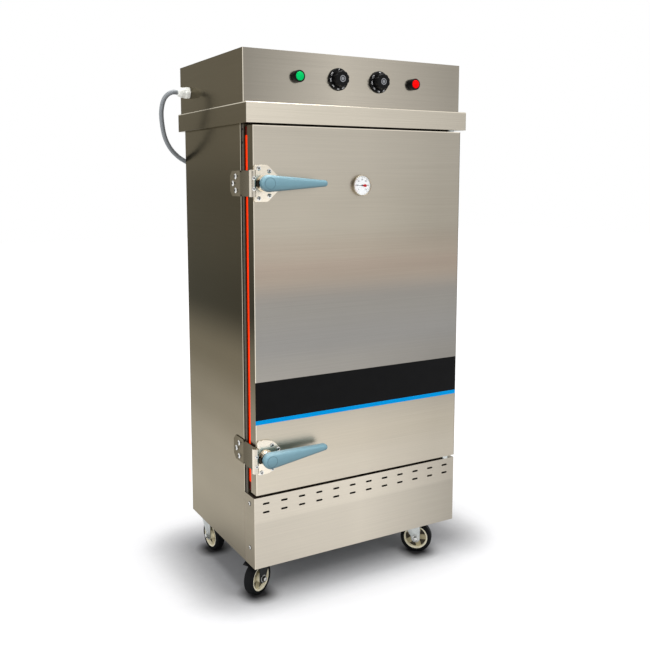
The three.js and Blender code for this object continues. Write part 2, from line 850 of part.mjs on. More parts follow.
// A four-sided block whose back face is smaller than its front by a slope on every side
function slopedBlock(half, bottom, top, front, depth, slope) {
  const centre = (bottom + top) / 2;
  const [width, height] = [2 * half, top - bottom];
  const shape = rectangle(-half, half, bottom, top);
  const geometry = new THREE.ExtrudeGeometry(shape, { depth, bevelEnabled: false, steps: 1 });
  const place = geometry.attributes.position;
  for (let i = 0; i < place.count; i += 1) {
    const share = place.getZ(i) / depth;
    place.setX(i, place.getX(i) * (1 - (2 * slope * share) / width));
    place.setY(i, centre + (place.getY(i) - centre) * (1 - (2 * slope * share) / height));
  }
  geometry.scale(1, 1, -1);
  return solidFrom(geometry.rotateX(Math.PI / 2).translate(0, front, 0));
}

// Inner pan: the sheet that closes the back of the door, pressed out into a raised field
function doorInnerPan() {
  const half = doorHalf - doorSheet - seatGap;
  const front = doorBack - doorSheet;
  const [low, high] = [doorBottom + doorSheet + seatGap, doorTop - doorSheet - seatGap];
  const field = [half - panelEmbossMarginX, low + panelEmbossMarginZ, high - panelEmbossMarginZ];
  const sheet = box([-half, front, low], [half, doorBack, high]);
  const raised = slopedBlock(...field, doorBack, panelEmbossDepth, panelEmbossSlope);
  const pressed = slopedBlock(...field, front, panelEmbossDepth, panelEmbossSlope);
  return sheet.add(raised).subtract(pressed).subtract(stemHole());
}

// Door core: the foam between skin and inner pan
function doorCore() {
  const half = doorHalf - doorSheet - seatGap;
  const gap = doorSheet + seatGap;
  const core = box(
    [-half, doorFront + gap, doorBottom + gap], [half, doorBack - gap, doorTop - gap],
  );
  return core.subtract(unionOf([...pivotHoles(seatGap), stemHole()]));
}

// Gasket: a ring round the back of the door, whose hinge-side run stays inside the pivot line
function doorGasket() {
  const left = gasketInset - doorHalf;
  const [low, high] = [doorBottom + gasketInset, doorTop - gasketInset];
  const outline = rectangle(left, pivotX, low, high);
  outline.holes.push(rectangle(
    left + gasketWidth, pivotX - gasketWidth, low + gasketWidth, high - gasketWidth,
  ));
  const back = frameFront - seatGap;
  return frontPlate(outline, back, back - doorBack - seatGap, gasketEdge);
}

// Thermometer: a dial case with a rim, a pin for the needle and a stem through the door
function thermometerCase() {
  const rimInner = thermometerRadius - thermometerRim;
  const stemEnd = -doorThickness - thermometerStemReach;
  const dial = thermometerDepth - thermometerRecess;
  const profile = [
    [0, stemEnd], [thermometerStemRadius, stemEnd],
    [thermometerStemRadius, seatGap], [thermometerRadius, seatGap],
    [thermometerRadius, thermometerDepth - thermometerRim / 2],
    [thermometerRadius - thermometerRim / 2, thermometerDepth], [rimInner, thermometerDepth],
    [rimInner, dial], [thermometerPinRadius, dial], [thermometerPinRadius, dial + thermometerPinHeight],
    [0, dial + thermometerPinHeight],
  ];
  const place = [thermometerX, doorFront, thermometerHeight];
  return turned(profile, thermometerSides, 'front', place);
}

// Needle: a pointed strip with a broad round tail, turning about the pin at the middle of the dial
function thermometerNeedle() {
  const outline = new THREE.Shape();
  const [neck, end] = [needleNeckWidth / 2, needleTailWidth / 2];
  outline.moveTo(0, -neck);
  outline.lineTo(needleLength, 0);
  outline.lineTo(0, neck);
  outline.absarc(end - needleTail, 0, end, Math.PI / 2, 1.5 * Math.PI, false);
  outline.closePath();
  const strip = frontPlate(outline, 0, needleThickness, 0, plateCornerSteps);
  const hub = rod(needleHubRadius, 0, needleThickness, shaftSides, 'front');
  const hole = rod(
    thermometerPinRadius + seatGap, -cutOverrun, needleThickness + cutOverrun, shaftSides, 'front',
  );
  return strip.add(hub).subtract(hole);
}

// Outline of the upper latch's plate: a straight outer edge and a sloping, rounded nose
function nosedOutline() {
  const top = latchPlateHeight / 2;
  const corner = latchPlateCorner;
  const outline = new THREE.Shape();
  outline.moveTo(-latchPlateLeft, -top + corner);
  outline.quadraticCurveTo(-latchPlateLeft, -top, corner - latchPlateLeft, -top);
  outline.lineTo(latchPlateTopRun, -top);
  outline.lineTo(latchPlateRight - corner, -latchPlateNose);
  outline.quadraticCurveTo(latchPlateRight, -latchPlateNose, latchPlateRight, corner - latchPlateNose);
  outline.lineTo(latchPlateRight, latchPlateNose - corner);
  outline.quadraticCurveTo(latchPlateRight, latchPlateNose, latchPlateRight - corner, latchPlateNose);
  outline.lineTo(latchPlateTopRun, top);
  outline.lineTo(corner - latchPlateLeft, top);
  outline.quadraticCurveTo(-latchPlateLeft, top, -latchPlateLeft, top - corner);
  outline.closePath();
  return outline;
}

// Outline of the lower latch's plate: a straight outer edge and half a circle
function fanOutline() {
  const radius = latchPlateHeight / 2;
  const middle = latchPlateRight - radius;
  const outline = new THREE.Shape();
  outline.moveTo(-latchPlateLeft, latchFanCorner - radius);
  outline.lineTo(latchFanCorner - latchPlateLeft, -radius);
  outline.absarc(middle, 0, radius, -Math.PI / 2, Math.PI / 2, false);
  outline.lineTo(latchFanCorner - latchPlateLeft, radius);
  outline.lineTo(-latchPlateLeft, radius - latchFanCorner);
  outline.closePath();
  return outline;
}

// Latch base: a plate and a boss that the spindle turns in
function latchBase(outline, arcSteps) {
  const plateBack = doorFront - seatGap;
  const plate = frontPlate(outline, plateBack, latchPlateThickness, 0, arcSteps);
  const boss = turned(
    [[0, 0], [latchBossRadius, 0], [latchBossTop, latchBossHeight], [0, latchBossHeight]],
    latchBossSides, 'front', [0, plateBack - latchPlateThickness + outerSheet / 2, 0],
  ).add(rod(latchBossTop, 0, latchBossHeight, latchBossSides, 'front',
    [0, plateBack - latchPlateThickness, 0]));
  const bore = rod(
    spindleRadius + spindleClearance, -spindleSink, latchBossHeight + cutOverrun, pinSides, 'front',
    [0, latchFront + latchBossHeight - spindleSink + seatGap, 0],
  );
  return plate.add(boss).subtract(bore);
}

// Latch cam: the spindle with a tongue whose tip is an arc about the spindle
function latchCam() {
  const reach = rod(camReach, 0, camThickness, latchBossSides, 'front', [0, camBack, 0]);
  const tongue = reach.intersect(box(
    [-camReach - cutOverrun, camBack - camThickness - cutOverrun, -camHalfHeight],
    [0, camBack + cutOverrun, camHalfHeight],
  ));
  const disc = rod(camRadius, 0, camThickness, latchBossSides, 'front', [0, camBack, 0]);
  const start = latchFront + latchBossHeight - spindleSink;
  const spindle = rod(
    spindleRadius, 0, start - leverBack + spindleSink, pinSides, 'front', [0, start, 0],
  );
  return unionOf([tongue, disc, spindle]);
}

// Lever: a tapered handle with round ends, a cap ring over the spindle and a socket behind it
function latchLever() {
  const spread = Math.acos((leverRadius - leverTipRadius) / leverLength);
  const outline = new THREE.Shape();
  outline.absarc(0, 0, leverRadius, spread, 2 * Math.PI - spread, false);
  outline.absarc(leverLength, 0, leverTipRadius, -spread, spread, false);
  outline.closePath();
  const handle = frontPlate(outline, leverBack, leverThickness, leverEdge, leverArcSteps);
  const ring = turned([
    [capRingInner, -capRingDepth], [capRingOuter, -capRingDepth], [capRingOuter, cutOverrun],
    [capRingInner, cutOverrun], [capRingInner, -capRingDepth],
  ], latchBossSides, 'front', [0, leverFront, 0]);
  const socket = rod(
    spindleRadius + seatGap, -cutOverrun, spindleSink + seatGap, pinSides, 'front', [0, leverBack, 0],
  );
  return handle.subtract(ring).subtract(socket);
}

// Keeper: a bracket on the body's side that reaches forward past the door's edge to a round post
function keeper(height) {
  const outer = -halfWidth - seatGap - keeperSheet;
  const inner = -halfWidth - seatGap;
  const back = sideSetback + keeperBackReach;
  const [low, high] = [height - keeperHeight / 2, height + keeperHeight / 2];
  const arm = box([outer, -keeperRollerY, low], [inner, back, high]);
  const post = rod(
    keeperRollerRadius, low, high, keeperSides, 'up', [-halfWidth - keeperRollerX, -keeperRollerY, 0],
  );
  const cuts = [-1, 1].flatMap((side) => {
    const edge = height + (side * keeperHeight) / 2;
    const corner = new THREE.BoxGeometry(
      cabinetWidth, keeperRearCut * Math.SQRT2, keeperRearCut * Math.SQRT2,
    );
    corner.rotateX(Math.PI / 4);
    const notch = new THREE.BoxGeometry(cabinetWidth, 2 * keeperNeckNotch, 2 * keeperNeckNotch);
    return [
      solidFrom(corner.translate(-halfWidth, back, edge)),
      solidFrom(notch.translate(-halfWidth, sideSetback - keeperNeckNotch, edge)),
    ];
  });
  return arm.add(post).subtract(unionOf(cuts));
}

// Pilot lamp: a black bezel whose barrel passes through the panel, and a domed lens in its mouth
function lampBezel() {
  const profile = [
    [0, -lampBarrelLength], [lampBarrelRadius, -lampBarrelLength], [lampBarrelRadius, seatGap],
    [lampBezelRadius, seatGap], [lampBezelRadius, lampBezelReach - lampBezelEdge],
    [lampBezelRadius - lampBezelEdge, lampBezelReach],
    [lampLensRadius + seatGap, lampBezelReach],
    [lampLensRadius + seatGap, lampBezelReach - lampRecess], [0, lampBezelReach - lampRecess],
  ];
  return turned(profile, lampSides, 'front');
}

function lampLens() {
  const base = lampBezelReach - lampRecess + seatGap;
  const shoulder = base + lampLensCollar;
  const profile = [
    [0, base], [lampLensRadius, base], [lampLensRadius, shoulder],
    [lampLensRadius - lampLensDome / 4, shoulder + lampLensDome / 2],
    [lampLensRadius - lampLensDome, shoulder + lampLensDome], [0, shoulder + lampLensDome],
  ];
  return turned(profile, lampSides, 'front');
}

// Knob: a fluted grip on a round skirt, with a shallow recess for its insert and a bore behind
function knob() {
  const outline = new THREE.Shape();
  const steps = knobFlutes * knobFluteSteps;
  for (let i = 0; i < steps; i += 1) {
    const angle = (2 * Math.PI * i) / steps;
    const wave = (1 - Math.abs(Math.sin((knobFlutes * angle) / 2))) * knobFluteDepth;
    const radius = knobRadius - wave;
    outline[i ? 'lineTo' : 'moveTo'](radius * Math.cos(angle), radius * Math.sin(angle));
  }
  outline.closePath();
  const grip = frontPlate(outline, -knobStandoff, knobReach - knobStandoff, knobEdge);
  const skirt = turned([
    [0, knobStandoff], [knobSkirtRadius, knobStandoff],
    [knobSkirtRadius, knobStandoff + knobSkirtThickness / 2],
    [knobSkirtRadius - knobEdge, knobStandoff + knobSkirtThickness],
    [0, knobStandoff + knobSkirtThickness],
  ], thermometerSides, 'front');
  const recess = rod(
    knobInsertRadius, knobReach - knobInsertRecess, knobReach + cutOverrun, lampSides, 'front',
  );
  const bore = rod(shaftRadius + shaftClearance, 0, knobBoreDepth + seatGap, shaftSides, 'front');
  return grip.add(skirt).subtract(recess).subtract(bore);
}

// Control unit: a housing inside the box, a threaded bush through the panel and a turning shaft
function controlUnit([width, depth, height]) {
  const face = -outerSheet - seatGap;
  const housing = box([-width / 2, -face, -height / 2], [width / 2, depth - face, height / 2]);
  const bush = rod(bushRadius, face - cutOverrun, seatGap, shaftSides, 'front');
  const shaft = rod(shaftRadius, face - cutOverrun, knobBoreDepth, shaftSides, 'front');
  return unionOf([housing, bush, shaft]);
}

// Cord gland: a hexagon and a domed nut outside the box, a thread through it and a nut inside
function cordGland() {
  const wall = -outerSheet - seatGap;
  const place = [-controlHalf, glandY, glandHeight];
  const hexagon = rod(glandHexRadius, seatGap, glandHexThickness, 6, 'left', place);
  const body = turned([
    [0, wall - glandThreadReach], [glandThreadRadius, wall - glandThreadReach],
    [glandThreadRadius, glandHexThickness - seatGap], [glandDomeRadius, glandHexThickness - seatGap],
    [glandDomeRadius, (glandHexThickness + glandReach) / 2],
    [glandNoseRadius, glandReach], [0, glandReach],
  ], plugSides, 'left', place);
  const nut = rod(glandHexRadius, wall - glandNutThickness, wall, 6, 'left', place);
  return unionOf([hexagon, body, nut]);
}

// Coil: one spiralled tube in two layers, winding in, climbing in the half turn where the spiral
// reverses, and winding out again to the lead that ends at the plug
const cordRadius = cordDiameter / 2;
const coilPitch = cordDiameter + coilGap;
const coilY = cabinetDepth + coilBackOffset;
const coilOuterRadius = coilMeanRadius + (coilTurnsPerLayer * coilPitch) / 2;
const coilBase = cordRadius + seatGap;
const plugAxisHeight = plugCollarRadius + seatGap;

const smooth = (share) => share * share * (3 - 2 * share);

function coilPoints() {
  const turns = 2 * coilTurnsPerLayer + coilReverseTurns + coilLeadSteps / coilStepsPerTurn;
  const steps = Math.round(turns * coilStepsPerTurn);
  const middle = coilTurnsPerLayer + coilReverseTurns / 2;
  const points = [];
  for (let i = 0; i <= steps; i += 1) {
    const turn = i / coilStepsPerTurn;
    const radius = coilOuterRadius - coilPitch * (turn < middle ? turn : 2 * middle - turn);
    const climb = Math.min(Math.max((turn - coilTurnsPerLayer) / coilReverseTurns, 0), 1);
    const leave = Math.min(Math.max(1 - (turns - turn) / coilReverseTurns, 0), 1);
    const angle = 2 * Math.PI * (turn - 1 / 4);
    points.push(new THREE.Vector3(
      coilX + radius * Math.cos(angle),
      coilY + radius * Math.sin(angle),
      coilBase + coilPitch * smooth(climb)
        + (plugAxisHeight - coilBase - coilPitch) * smooth(leave),
    ));
  }
  const first = points[0].clone();
  points.unshift(first.clone().setX(first.x - cordDiameter));
  const last = points[points.length - 1];
  const away = leadDirection();
  points.push(last.clone().addScaledVector(away, coilPlugLead - cordDiameter));
  points.push(last.clone().addScaledVector(away, coilPlugLead));
  return points;
}

function leadDirection() {
  const angle = (2 * Math.PI * coilLeadSteps) / coilStepsPerTurn;
  return new THREE.Vector3(Math.cos(angle), Math.sin(angle), 0);
}

// The least gap between turns, measured between points that lie over half a turn apart
function leastCoilGap(points) {
  const apart = Math.round(coilStepsPerTurn / 2);
  let least = Infinity;
  for (let i = 0; i < points.length; i += 1) {
    for (let k = i + apart; k + 1 < points.length; k += 1) {
      const step = new THREE.Line3(points[k], points[k + 1]);
      const near = step.closestPointToPoint(points[i], true, new THREE.Vector3());
      least = Math.min(least, near.distanceTo(points[i]) - cordDiameter);
    }
  }
  return least;
}

// Plug: a round body with a neck for the cord and a collar round its pins
function powerPlug(start, direction) {
  const shell = turned([
    [0, 0], [plugNeckRadius, 0], [plugNeckRadius + plugWall, plugNeckLength],
    [plugRadius, plugNeckLength + plugWall], [plugRadius, plugLength],
    [plugCollarRadius, plugLength], [plugCollarRadius, plugLength + plugCollarLength],
    [plugCollarRadius - plugWall, plugLength + plugCollarLength], [plugCollarRadius - plugWall, plugLength],
    [0, plugLength],
  ], plugSides, 'back');
  const pins = [];
  for (let i = 0; i < plugPinCount; i += 1) {
    const angle = (2 * Math.PI * (i + 1 / 2)) / plugPinCount;
    const place = [plugPinCircle * Math.cos(angle), 0, plugPinCircle * Math.sin(angle)];
    const [from, to] = [plugLength - plugWall, plugLength + plugPinDepth];
    pins.push(rod(plugPinRadius, from, to, 8, 'back', place));
  }
  const group = new THREE.Group();
  group.position.copy(start).addScaledVector(direction, seatGap);
  group.rotation.z = Math.atan2(direction.y, direction.x) - Math.PI / 2;
  part.add(group);
  addPiece('power_plug', unionOf([shell, ...pins]), blackPlastic, group);
}

function powerCord() {
  const start = new THREE.Vector3(-controlHalf - glandReach - seatGap, glandY, glandHeight);
  const coil = coilPoints();
  const end = coil[0].clone().setX(coil[0].x - seatGap);
  const route = [start, ...cordRoute.map((point) => new THREE.Vector3(...point)), end];
  const section = new THREE.Shape();
  for (let k = 0; k < cordSides; k += 1) {
    const angle = (2 * Math.PI * (k + 1 / 2)) / cordSides;
    section[k ? 'lineTo' : 'moveTo'](cordRadius * Math.cos(angle), cordRadius * Math.sin(angle));
  }
  section.closePath();
  const extrudePath = new THREE.CatmullRomCurve3(route, false, 'centripetal');
  const tube = new THREE.ExtrudeGeometry(section, { steps: cordSteps, extrudePath });
  addPiece('power_cord', solidFrom(tube), greyCord);
  addPiece('power_cord_coil', sweptTube(coil, cordRadius, coilSides), greyCord);
  powerPlug(coil[coil.length - 1], leadDirection());
  console.log(`least gap of the coil to itself: ${leastCoilGap(coil).toFixed(2)} mm`);
  console.log(`free stretch of the cord: ${extrudePath.getLength().toFixed(0)} mm`);
}

// Caster plate: the bolted top plate with the upper race of the swivel
function casterPlate() {
  const top = casterHeight;
  const bottom = top - casterPlateThickness;
  const plate = box(
    [-casterPlateWidth / 2, -casterPlateLength / 2, bottom],
    [casterPlateWidth / 2, casterPlateLength / 2, top],
  );
  const race = turned([
    [0, bottom - raceHeight], [raceRadius - raceHeight / 2, bottom - raceHeight],
    [raceRadius, bottom - raceHeight / 2], [raceRadius, bottom + casterPlateThickness / 2],
    [0, bottom + casterPlateThickness / 2],
  ], raceSides, 'up');
  return plate.add(race);
}

// Fork: a crown under the race, two tapered legs with rounded ends, and the axle with its nuts.
// A braked fork also has ears that carry the rod of its pedal.
const legInner = hubWidth / 2 + forkClearance;
const crownTop = casterHeight - casterPlateThickness - raceHeight - raceGap;
const crownBottom = crownTop - crownRaceHeight - crownThickness;
const pedalRodX = casterTrail + pedalRodOffset;
const pedalRodZ = crownTop - pedalRodDrop;

function forkLeg(side) {
  const top = crownTop - crownRaceHeight;
  const outline = new THREE.Shape();
  outline.moveTo(-forkFrontReach, top);
  outline.lineTo(casterTrail - forkEndRadius, wheelRadius + forkEndRadius / 4);
  for (let i = 0; i <= forkArcSteps; i += 1) {
    const angle = Math.PI * (1 + i / forkArcSteps);
    const x = casterTrail + forkEndRadius * Math.cos(angle);
    outline.lineTo(x, wheelRadius + forkEndRadius * Math.sin(angle));
  }
  outline.lineTo(casterTrail + forkEndRadius, top);
  outline.closePath();
  const back = side > 0 ? legInner + forkSheet : -legInner;
  return frontPlate(outline, back, forkSheet);
}

function fork(braked) {
  const top = crownTop - crownRaceHeight;
  const legOuter = legInner + forkSheet;
  const crown = box(
    [-forkFrontReach, -legOuter, crownBottom], [casterTrail + pedalDrop, legOuter, top],
  );
  const race = turned([
    [0, crownBottom], [raceRadius, crownBottom], [raceRadius, crownTop - crownRaceHeight / 2],
    [raceRadius - crownRaceHeight, crownTop], [0, crownTop],
  ], raceSides, 'up');
  const axlePlace = [casterTrail, 0, wheelRadius];
  const axle = rod(axleRadius, -legOuter, legOuter, hubSides, 'back', axlePlace);
  const nuts = [-1, 1].map((side) => rod(
    axleNutRadius, side < 0 ? -legOuter - axleNutLength : legOuter - outerSheet,
    side < 0 ? outerSheet - legOuter : legOuter + axleNutLength, 6, 'back', axlePlace,
  ));
  const pieces = [crown, race, forkLeg(-1), forkLeg(1), axle, ...nuts];
  if (braked) {
    [-1, 1].forEach((side) => pieces.push(box(
      [casterTrail, side < 0 ? -legOuter : legInner, top - pedalEarHeight],
      [casterTrail + pedalEarReach, side < 0 ? -legInner : legOuter, top],
    )));
    pieces.push(rod(pedalRodRadius, -legOuter, legOuter, 12, 'back', [pedalRodX, 0, pedalRodZ]));
  }
  return unionOf(pieces);
}

// Pedal: a sloping tread on a rod between the ears, above the tyre
function brakePedal() {
  const outline = new THREE.Shape();
  const [left, right] = [pedalRodX - pedalThickness, casterTrail + pedalReach];
  const high = pedalRodZ + pedalThickness / 2;
  const low = pedalRodZ - pedalThickness / 2;
  outline.moveTo(left, low);
  outline.lineTo(pedalRodX + pedalThickness, low);
  outline.lineTo(right - pedalThickness, low - pedalDrop);
  outline.lineTo(right, low - pedalDrop / 2);
  outline.lineTo(right - pedalThickness, high - pedalDrop);
  outline.lineTo(pedalRodX + pedalThickness, high);
  outline.lineTo(left, high);
  outline.closePath();
  const tread = frontPlate(outline, pedalWidth / 2, pedalWidth);
  const bore = rod(
    pedalRodRadius + pedalClearance, -pedalWidth / 2 - cutOverrun, pedalWidth / 2 + cutOverrun, 12,
    'back', [pedalRodX, 0, pedalRodZ],
  );
  return tread.subtract(bore);
}

// Wheel: a rubber tyre on a spoked plastic centre. Each is a polygon with a flat side at the floor.
const acrossFlats = 1 / Math.cos(Math.PI / wheelSides);
const rimRadius = wheelRadius - tyreThickness;

function tyre() {
  const outer = wheelRadius * acrossFlats;
  const inner = (rimRadius + seatGap) * acrossFlats;
  const half = tyreWidth / 2;
  return turned([
    [inner, -half], [outer - tyreShoulder, -half], [outer, tyreShoulder - half],
    [outer, half - tyreShoulder], [outer - tyreShoulder, half], [inner, half], [inner, -half],
  ], wheelSides, 'back');
}

function hub() {
  const [outer, inner] = [rimRadius * acrossFlats, (rimRadius - rimThickness) * acrossFlats];
  const half = rimWidth / 2;
  const rim = turned(
    [[inner, -half], [outer, -half], [outer, half], [inner, half], [inner, -half]], wheelSides, 'back',
  );
  const boss = rod(hubRadius, -hubWidth / 2, hubWidth / 2, hubSides, 'back');
  const spokes = [];
  for (let i = 0; i < spokeCount; i += 1) {
    const geometry = new THREE.BoxGeometry(spokeWidth, spokeDepth, inner);
    geometry.translate(0, 0, -inner / 2);
    geometry.rotateY((2 * Math.PI * (i + 1 / 2)) / spokeCount);
    spokes.push(solidFrom(geometry));
  }
  const bore = rod(
    axleRadius + axleClearance, -hubWidth / 2 - cutOverrun, hubWidth / 2 + cutOverrun, hubSides, 'back',
  );
  return unionOf([rim, boss, ...spokes]).subtract(bore);
}

// Casters: corner, place of the swivel, and the heading of the wheel from it
const casters = [
  ['front_left', casterInsetFrontLeft - halfWidth, casterInsetFront, -152, true],
  ['front_right', halfWidth - casterInsetRight, casterInsetFront, -42, true],
  ['rear_left', casterInsetRearLeft - halfWidth, cabinetDepth - casterInsetBack, -84, false],
  ['rear_right', halfWidth - casterInsetRight, cabinetDepth - casterInsetBack, -104, false],
];

function addCaster([corner, x, y, heading, braked]) {
  const group = new THREE.Group();
  group.position.set(x, y, 0);
  part.add(group);
  addPiece(`caster_plate_${corner}`, casterPlate(), galvanised, group);
  const swivel = new THREE.Group();
  swivel.rotation.z = THREE.MathUtils.degToRad(heading);
  group.add(swivel);
  addPiece(`caster_fork_${corner}`, fork(braked), galvanised, swivel);
  if (braked) addPiece(`brake_pedal_${corner}`, brakePedal(), blackPlastic, swivel);
  const wheel = new THREE.Group();
  wheel.position.set(casterTrail, 0, wheelRadius);
  swivel.add(wheel);
  addPiece(`wheel_hub_${corner}`, hub(), creamPlastic, wheel);
  addPiece(`wheel_tyre_${corner}`, tyre(), blackRubber, wheel);
}

function addLatch(name, height, tilt, outline, arcSteps) {
  const fixed = new THREE.Group();
  fixed.position.set(latchX, 0, height);
  part.add(fixed);
  addPiece(`latch_base_${name}`, latchBase(outline, arcSteps), brushedSteel, fixed);
  const turning = new THREE.Group();
  turning.rotation.y = -THREE.MathUtils.degToRad(tilt);
  fixed.add(turning);
  addPiece(`latch_cam_${name}`, latchCam(), darkSteel, turning);
  addPiece(`latch_lever_${name}`, latchLever(), leverPlastic, turning);
  addPiece(`latch_keeper_${name}`, keeper(height), brushedSteel);
}

function addOnPanel(x, pieces) {
  const group = new THREE.Group();
  group.position.set(x, controlFront, controlRowHeight);
  part.add(group);
  pieces.forEach(([name, solid, material]) => addPiece(name, solid, material, group));
}

function addThermometer() {
  addPiece('thermometer_case', thermometerCase(), dialWhite);
  const group = new THREE.Group();
  const dial = doorFront - thermometerDepth + thermometerRecess;
  group.position.set(thermometerX, dial - seatGap, thermometerHeight);
  group.rotation.y = -THREE.MathUtils.degToRad(needleTurn);
  part.add(group);
  addPiece('thermometer_needle', thermometerNeedle(), needleRed, group);
}

// The cabinet, piece by piece
addPiece('outer_wrap', outerWrap(), brushedSteel);
addPiece('base_tray', baseTray(), galvanised);
addPiece('lower_front_panel', lowerFrontPanel(), brushedSteel);
addPiece('cap_band', capBand(), brushedSteel);
addPiece('control_box', controlBox(), brushedSteel);
addPiece('door_frame', doorFrame(), linerSteel);
addPiece('inner_liner', innerLiner(), linerSteel);
addPiece('insulation', insulation(), foam);
addPiece('water_tank', waterTank(), linerSteel);
addPiece('heating_element', heatingElement(), darkSteel);
addPiece('steam_deck', steamDeck(), linerSteel);
addPiece('tray_rack_left', trayRack(-1), linerSteel);
addPiece('tray_rack_right', trayRack(1), linerSteel);
addPiece('drain_pipe', drainPipe(), linerSteel);
addPiece('hinge_pin_upper', pivotPin(doorGapAbove - 2 * seatGap, -1, bandBottom - seatGap), galvanised);
addPiece('hinge_pin_lower', pivotPin(doorGapBelow - 2 * seatGap, 1, panelTop + seatGap), galvanised);
addPiece('door_skin', doorSkin(), brushedSteel);
addPiece('door_inner_pan', doorInnerPan(), linerSteel);
addPiece('door_core', doorCore(), foam);
addPiece('door_gasket', doorGasket(), redRubber);
addThermometer();
addLatch('upper', upperLatchHeight, 0, nosedOutline(), plateCornerSteps);
addLatch('lower', lowerLatchHeight, lowerLatchTilt, fanOutline(), latchFanSteps);
addOnPanel(greenLampX, [
  ['green_lamp_bezel', lampBezel(), blackPlastic], ['green_lamp_lens', lampLens(), greenLens],
]);
addOnPanel(redLampX, [
  ['red_lamp_bezel', lampBezel(), blackPlastic], ['red_lamp_lens', lampLens(), redLens],
]);
addOnPanel(timerKnobX, [
  ['timer_unit', controlUnit(timerUnit), blackPlastic], ['timer_knob', knob(), blackPlastic],
]);
addOnPanel(thermostatKnobX, [
  ['thermostat_unit', controlUnit(thermostatUnit), galvanised],
  ['thermostat_knob', knob(), blackPlastic],
]);
addPiece('cord_gland', cordGland(), whitePlastic);
powerCord();
casters.forEach(addCaster);

export default part;
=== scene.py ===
"""Dresses the rice steamer cabinet: finishes, rounded copies of its sheet metal, round parts with
fine facets, screws, scales, the cord, a pale floor and soft studio light. Metres, +Z up."""
import json
import math

import bmesh
import bpy
import numpy as np
from mathutils import Matrix, Vector


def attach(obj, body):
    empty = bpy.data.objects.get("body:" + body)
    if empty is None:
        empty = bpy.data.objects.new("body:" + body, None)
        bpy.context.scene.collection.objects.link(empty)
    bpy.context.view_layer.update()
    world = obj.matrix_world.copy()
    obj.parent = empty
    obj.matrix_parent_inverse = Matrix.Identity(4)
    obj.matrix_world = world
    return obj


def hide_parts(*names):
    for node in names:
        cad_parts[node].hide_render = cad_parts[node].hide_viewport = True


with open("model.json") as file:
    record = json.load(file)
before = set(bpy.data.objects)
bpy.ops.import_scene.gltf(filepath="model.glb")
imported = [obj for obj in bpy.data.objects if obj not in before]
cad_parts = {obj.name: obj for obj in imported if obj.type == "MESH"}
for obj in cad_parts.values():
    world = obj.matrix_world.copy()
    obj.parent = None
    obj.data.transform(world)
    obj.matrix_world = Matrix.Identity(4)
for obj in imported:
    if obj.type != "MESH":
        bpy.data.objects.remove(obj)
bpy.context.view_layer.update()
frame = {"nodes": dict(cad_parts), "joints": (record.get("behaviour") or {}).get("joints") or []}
NODES = frame["nodes"]
SCENE = bpy.context.scene
MM = 0.001

# Sizes in millimetres. Y counts from the front face of the lower panel, as on a shop drawing.
PANEL_FRONT_Y = -227.05
DOOR_FACE = -6.0
CONTROL_FACE = 22.0
CONTROL_ROW = 1481.0
LATCH_X = -318.0
UPPER_LATCH_Z = 1193.0
LOWER_LATCH_Z = 441.0
LOWER_LEVER_TILT = 4.0
LEVER_ROOT, LEVER_TIP, LEVER_REACH, LEVER_BACK_Y = 22.5, 9.0, 167.0, -28.9
CAM_REACH, CAM_HALF, CAM_BACK_Y = 28.3, 8.0, -23.6
DIAL_X, DIAL_Z = -9.0, 1187.0
GLAND_X, GLAND_Y, GLAND_Z = -360.0, 421.0, 1465.0
CORD_RADIUS = 7.0
FINE_SIDES = 72
CORNERS = ("front_left", "front_right", "rear_left", "rear_right")

# Directions away from the cabinet's faces.
OUTWARD = (0.0, -1.0, 0.0)
LEFTWARD = (-1.0, 0.0, 0.0)
RIGHTWARD = (1.0, 0.0, 0.0)

# The camera: its place, lens and sensor in millimetres, its turns in degrees.
CAMERA_PLACE = (-1244.3, -1963.4, 1201.5)
CAMERA_LENS, CAMERA_SENSOR, CAMERA_SHIFT = 44.70, 36.0, -0.07
CAMERA_DIP, CAMERA_TURN = 7.01, 29.719


def to_frame(points):
    """Places in metres, from millimetres counted from the lower panel's front."""
    return (points + np.array([0.0, PANEL_FRONT_Y, 0.0])) * MM


def at(x, y, z):
    """One such place."""
    return to_frame(np.array([x, y, z], float))


# ---------------------------------------------------------------- camera
def photo_camera():
    """A camera that looks down by its dip and to the right by its turn, with no roll."""
    data = bpy.data.cameras.new("photo_camera")
    data.sensor_width = CAMERA_SENSOR
    data.lens = CAMERA_LENS
    data.shift_y = CAMERA_SHIFT
    data.clip_start, data.clip_end = 0.05, 60.0
    camera = bpy.data.objects.new("photo_camera", data)
    camera.location = Vector(at(*CAMERA_PLACE))
    camera.rotation_euler = (math.radians(90.0 - CAMERA_DIP), 0.0, -math.radians(CAMERA_TURN))
    SCENE.collection.objects.link(camera)
    SCENE.camera = camera


photo_camera()


# ---------------------------------------------------------------- meshes
def mesh_from(name, points, quads):
    """A mesh from an array of points and an array of four-cornered faces, with seams merged."""
    mesh = bpy.data.meshes.new(name)
    mesh.from_pydata(points.reshape(-1, 3).tolist(), [], quads.tolist())
    work = bmesh.new()
    work.from_mesh(mesh)
    bmesh.ops.remove_doubles(work, verts=work.verts, dist=1e-7)
    bmesh.ops.recalc_face_normals(work, faces=work.faces)
    work.to_mesh(mesh)
    work.free()
    return mesh


def grid_faces(rows, columns, wrap_rows, wrap_columns):
    """Quads of a rows x columns grid of points. A wrapped direction joins its last line to its
    first."""
    i = np.arange(rows if wrap_rows else rows - 1)
    j = np.arange(columns if wrap_columns else columns - 1)
    a, b = np.meshgrid(i, j, indexing="ij")
    c, d = (a + 1) % rows, (b + 1) % columns
    quads = np.stack([a * columns + b, a * columns + d, c * columns + d, c * columns + b], -1)
    return quads.reshape(-1, 4)


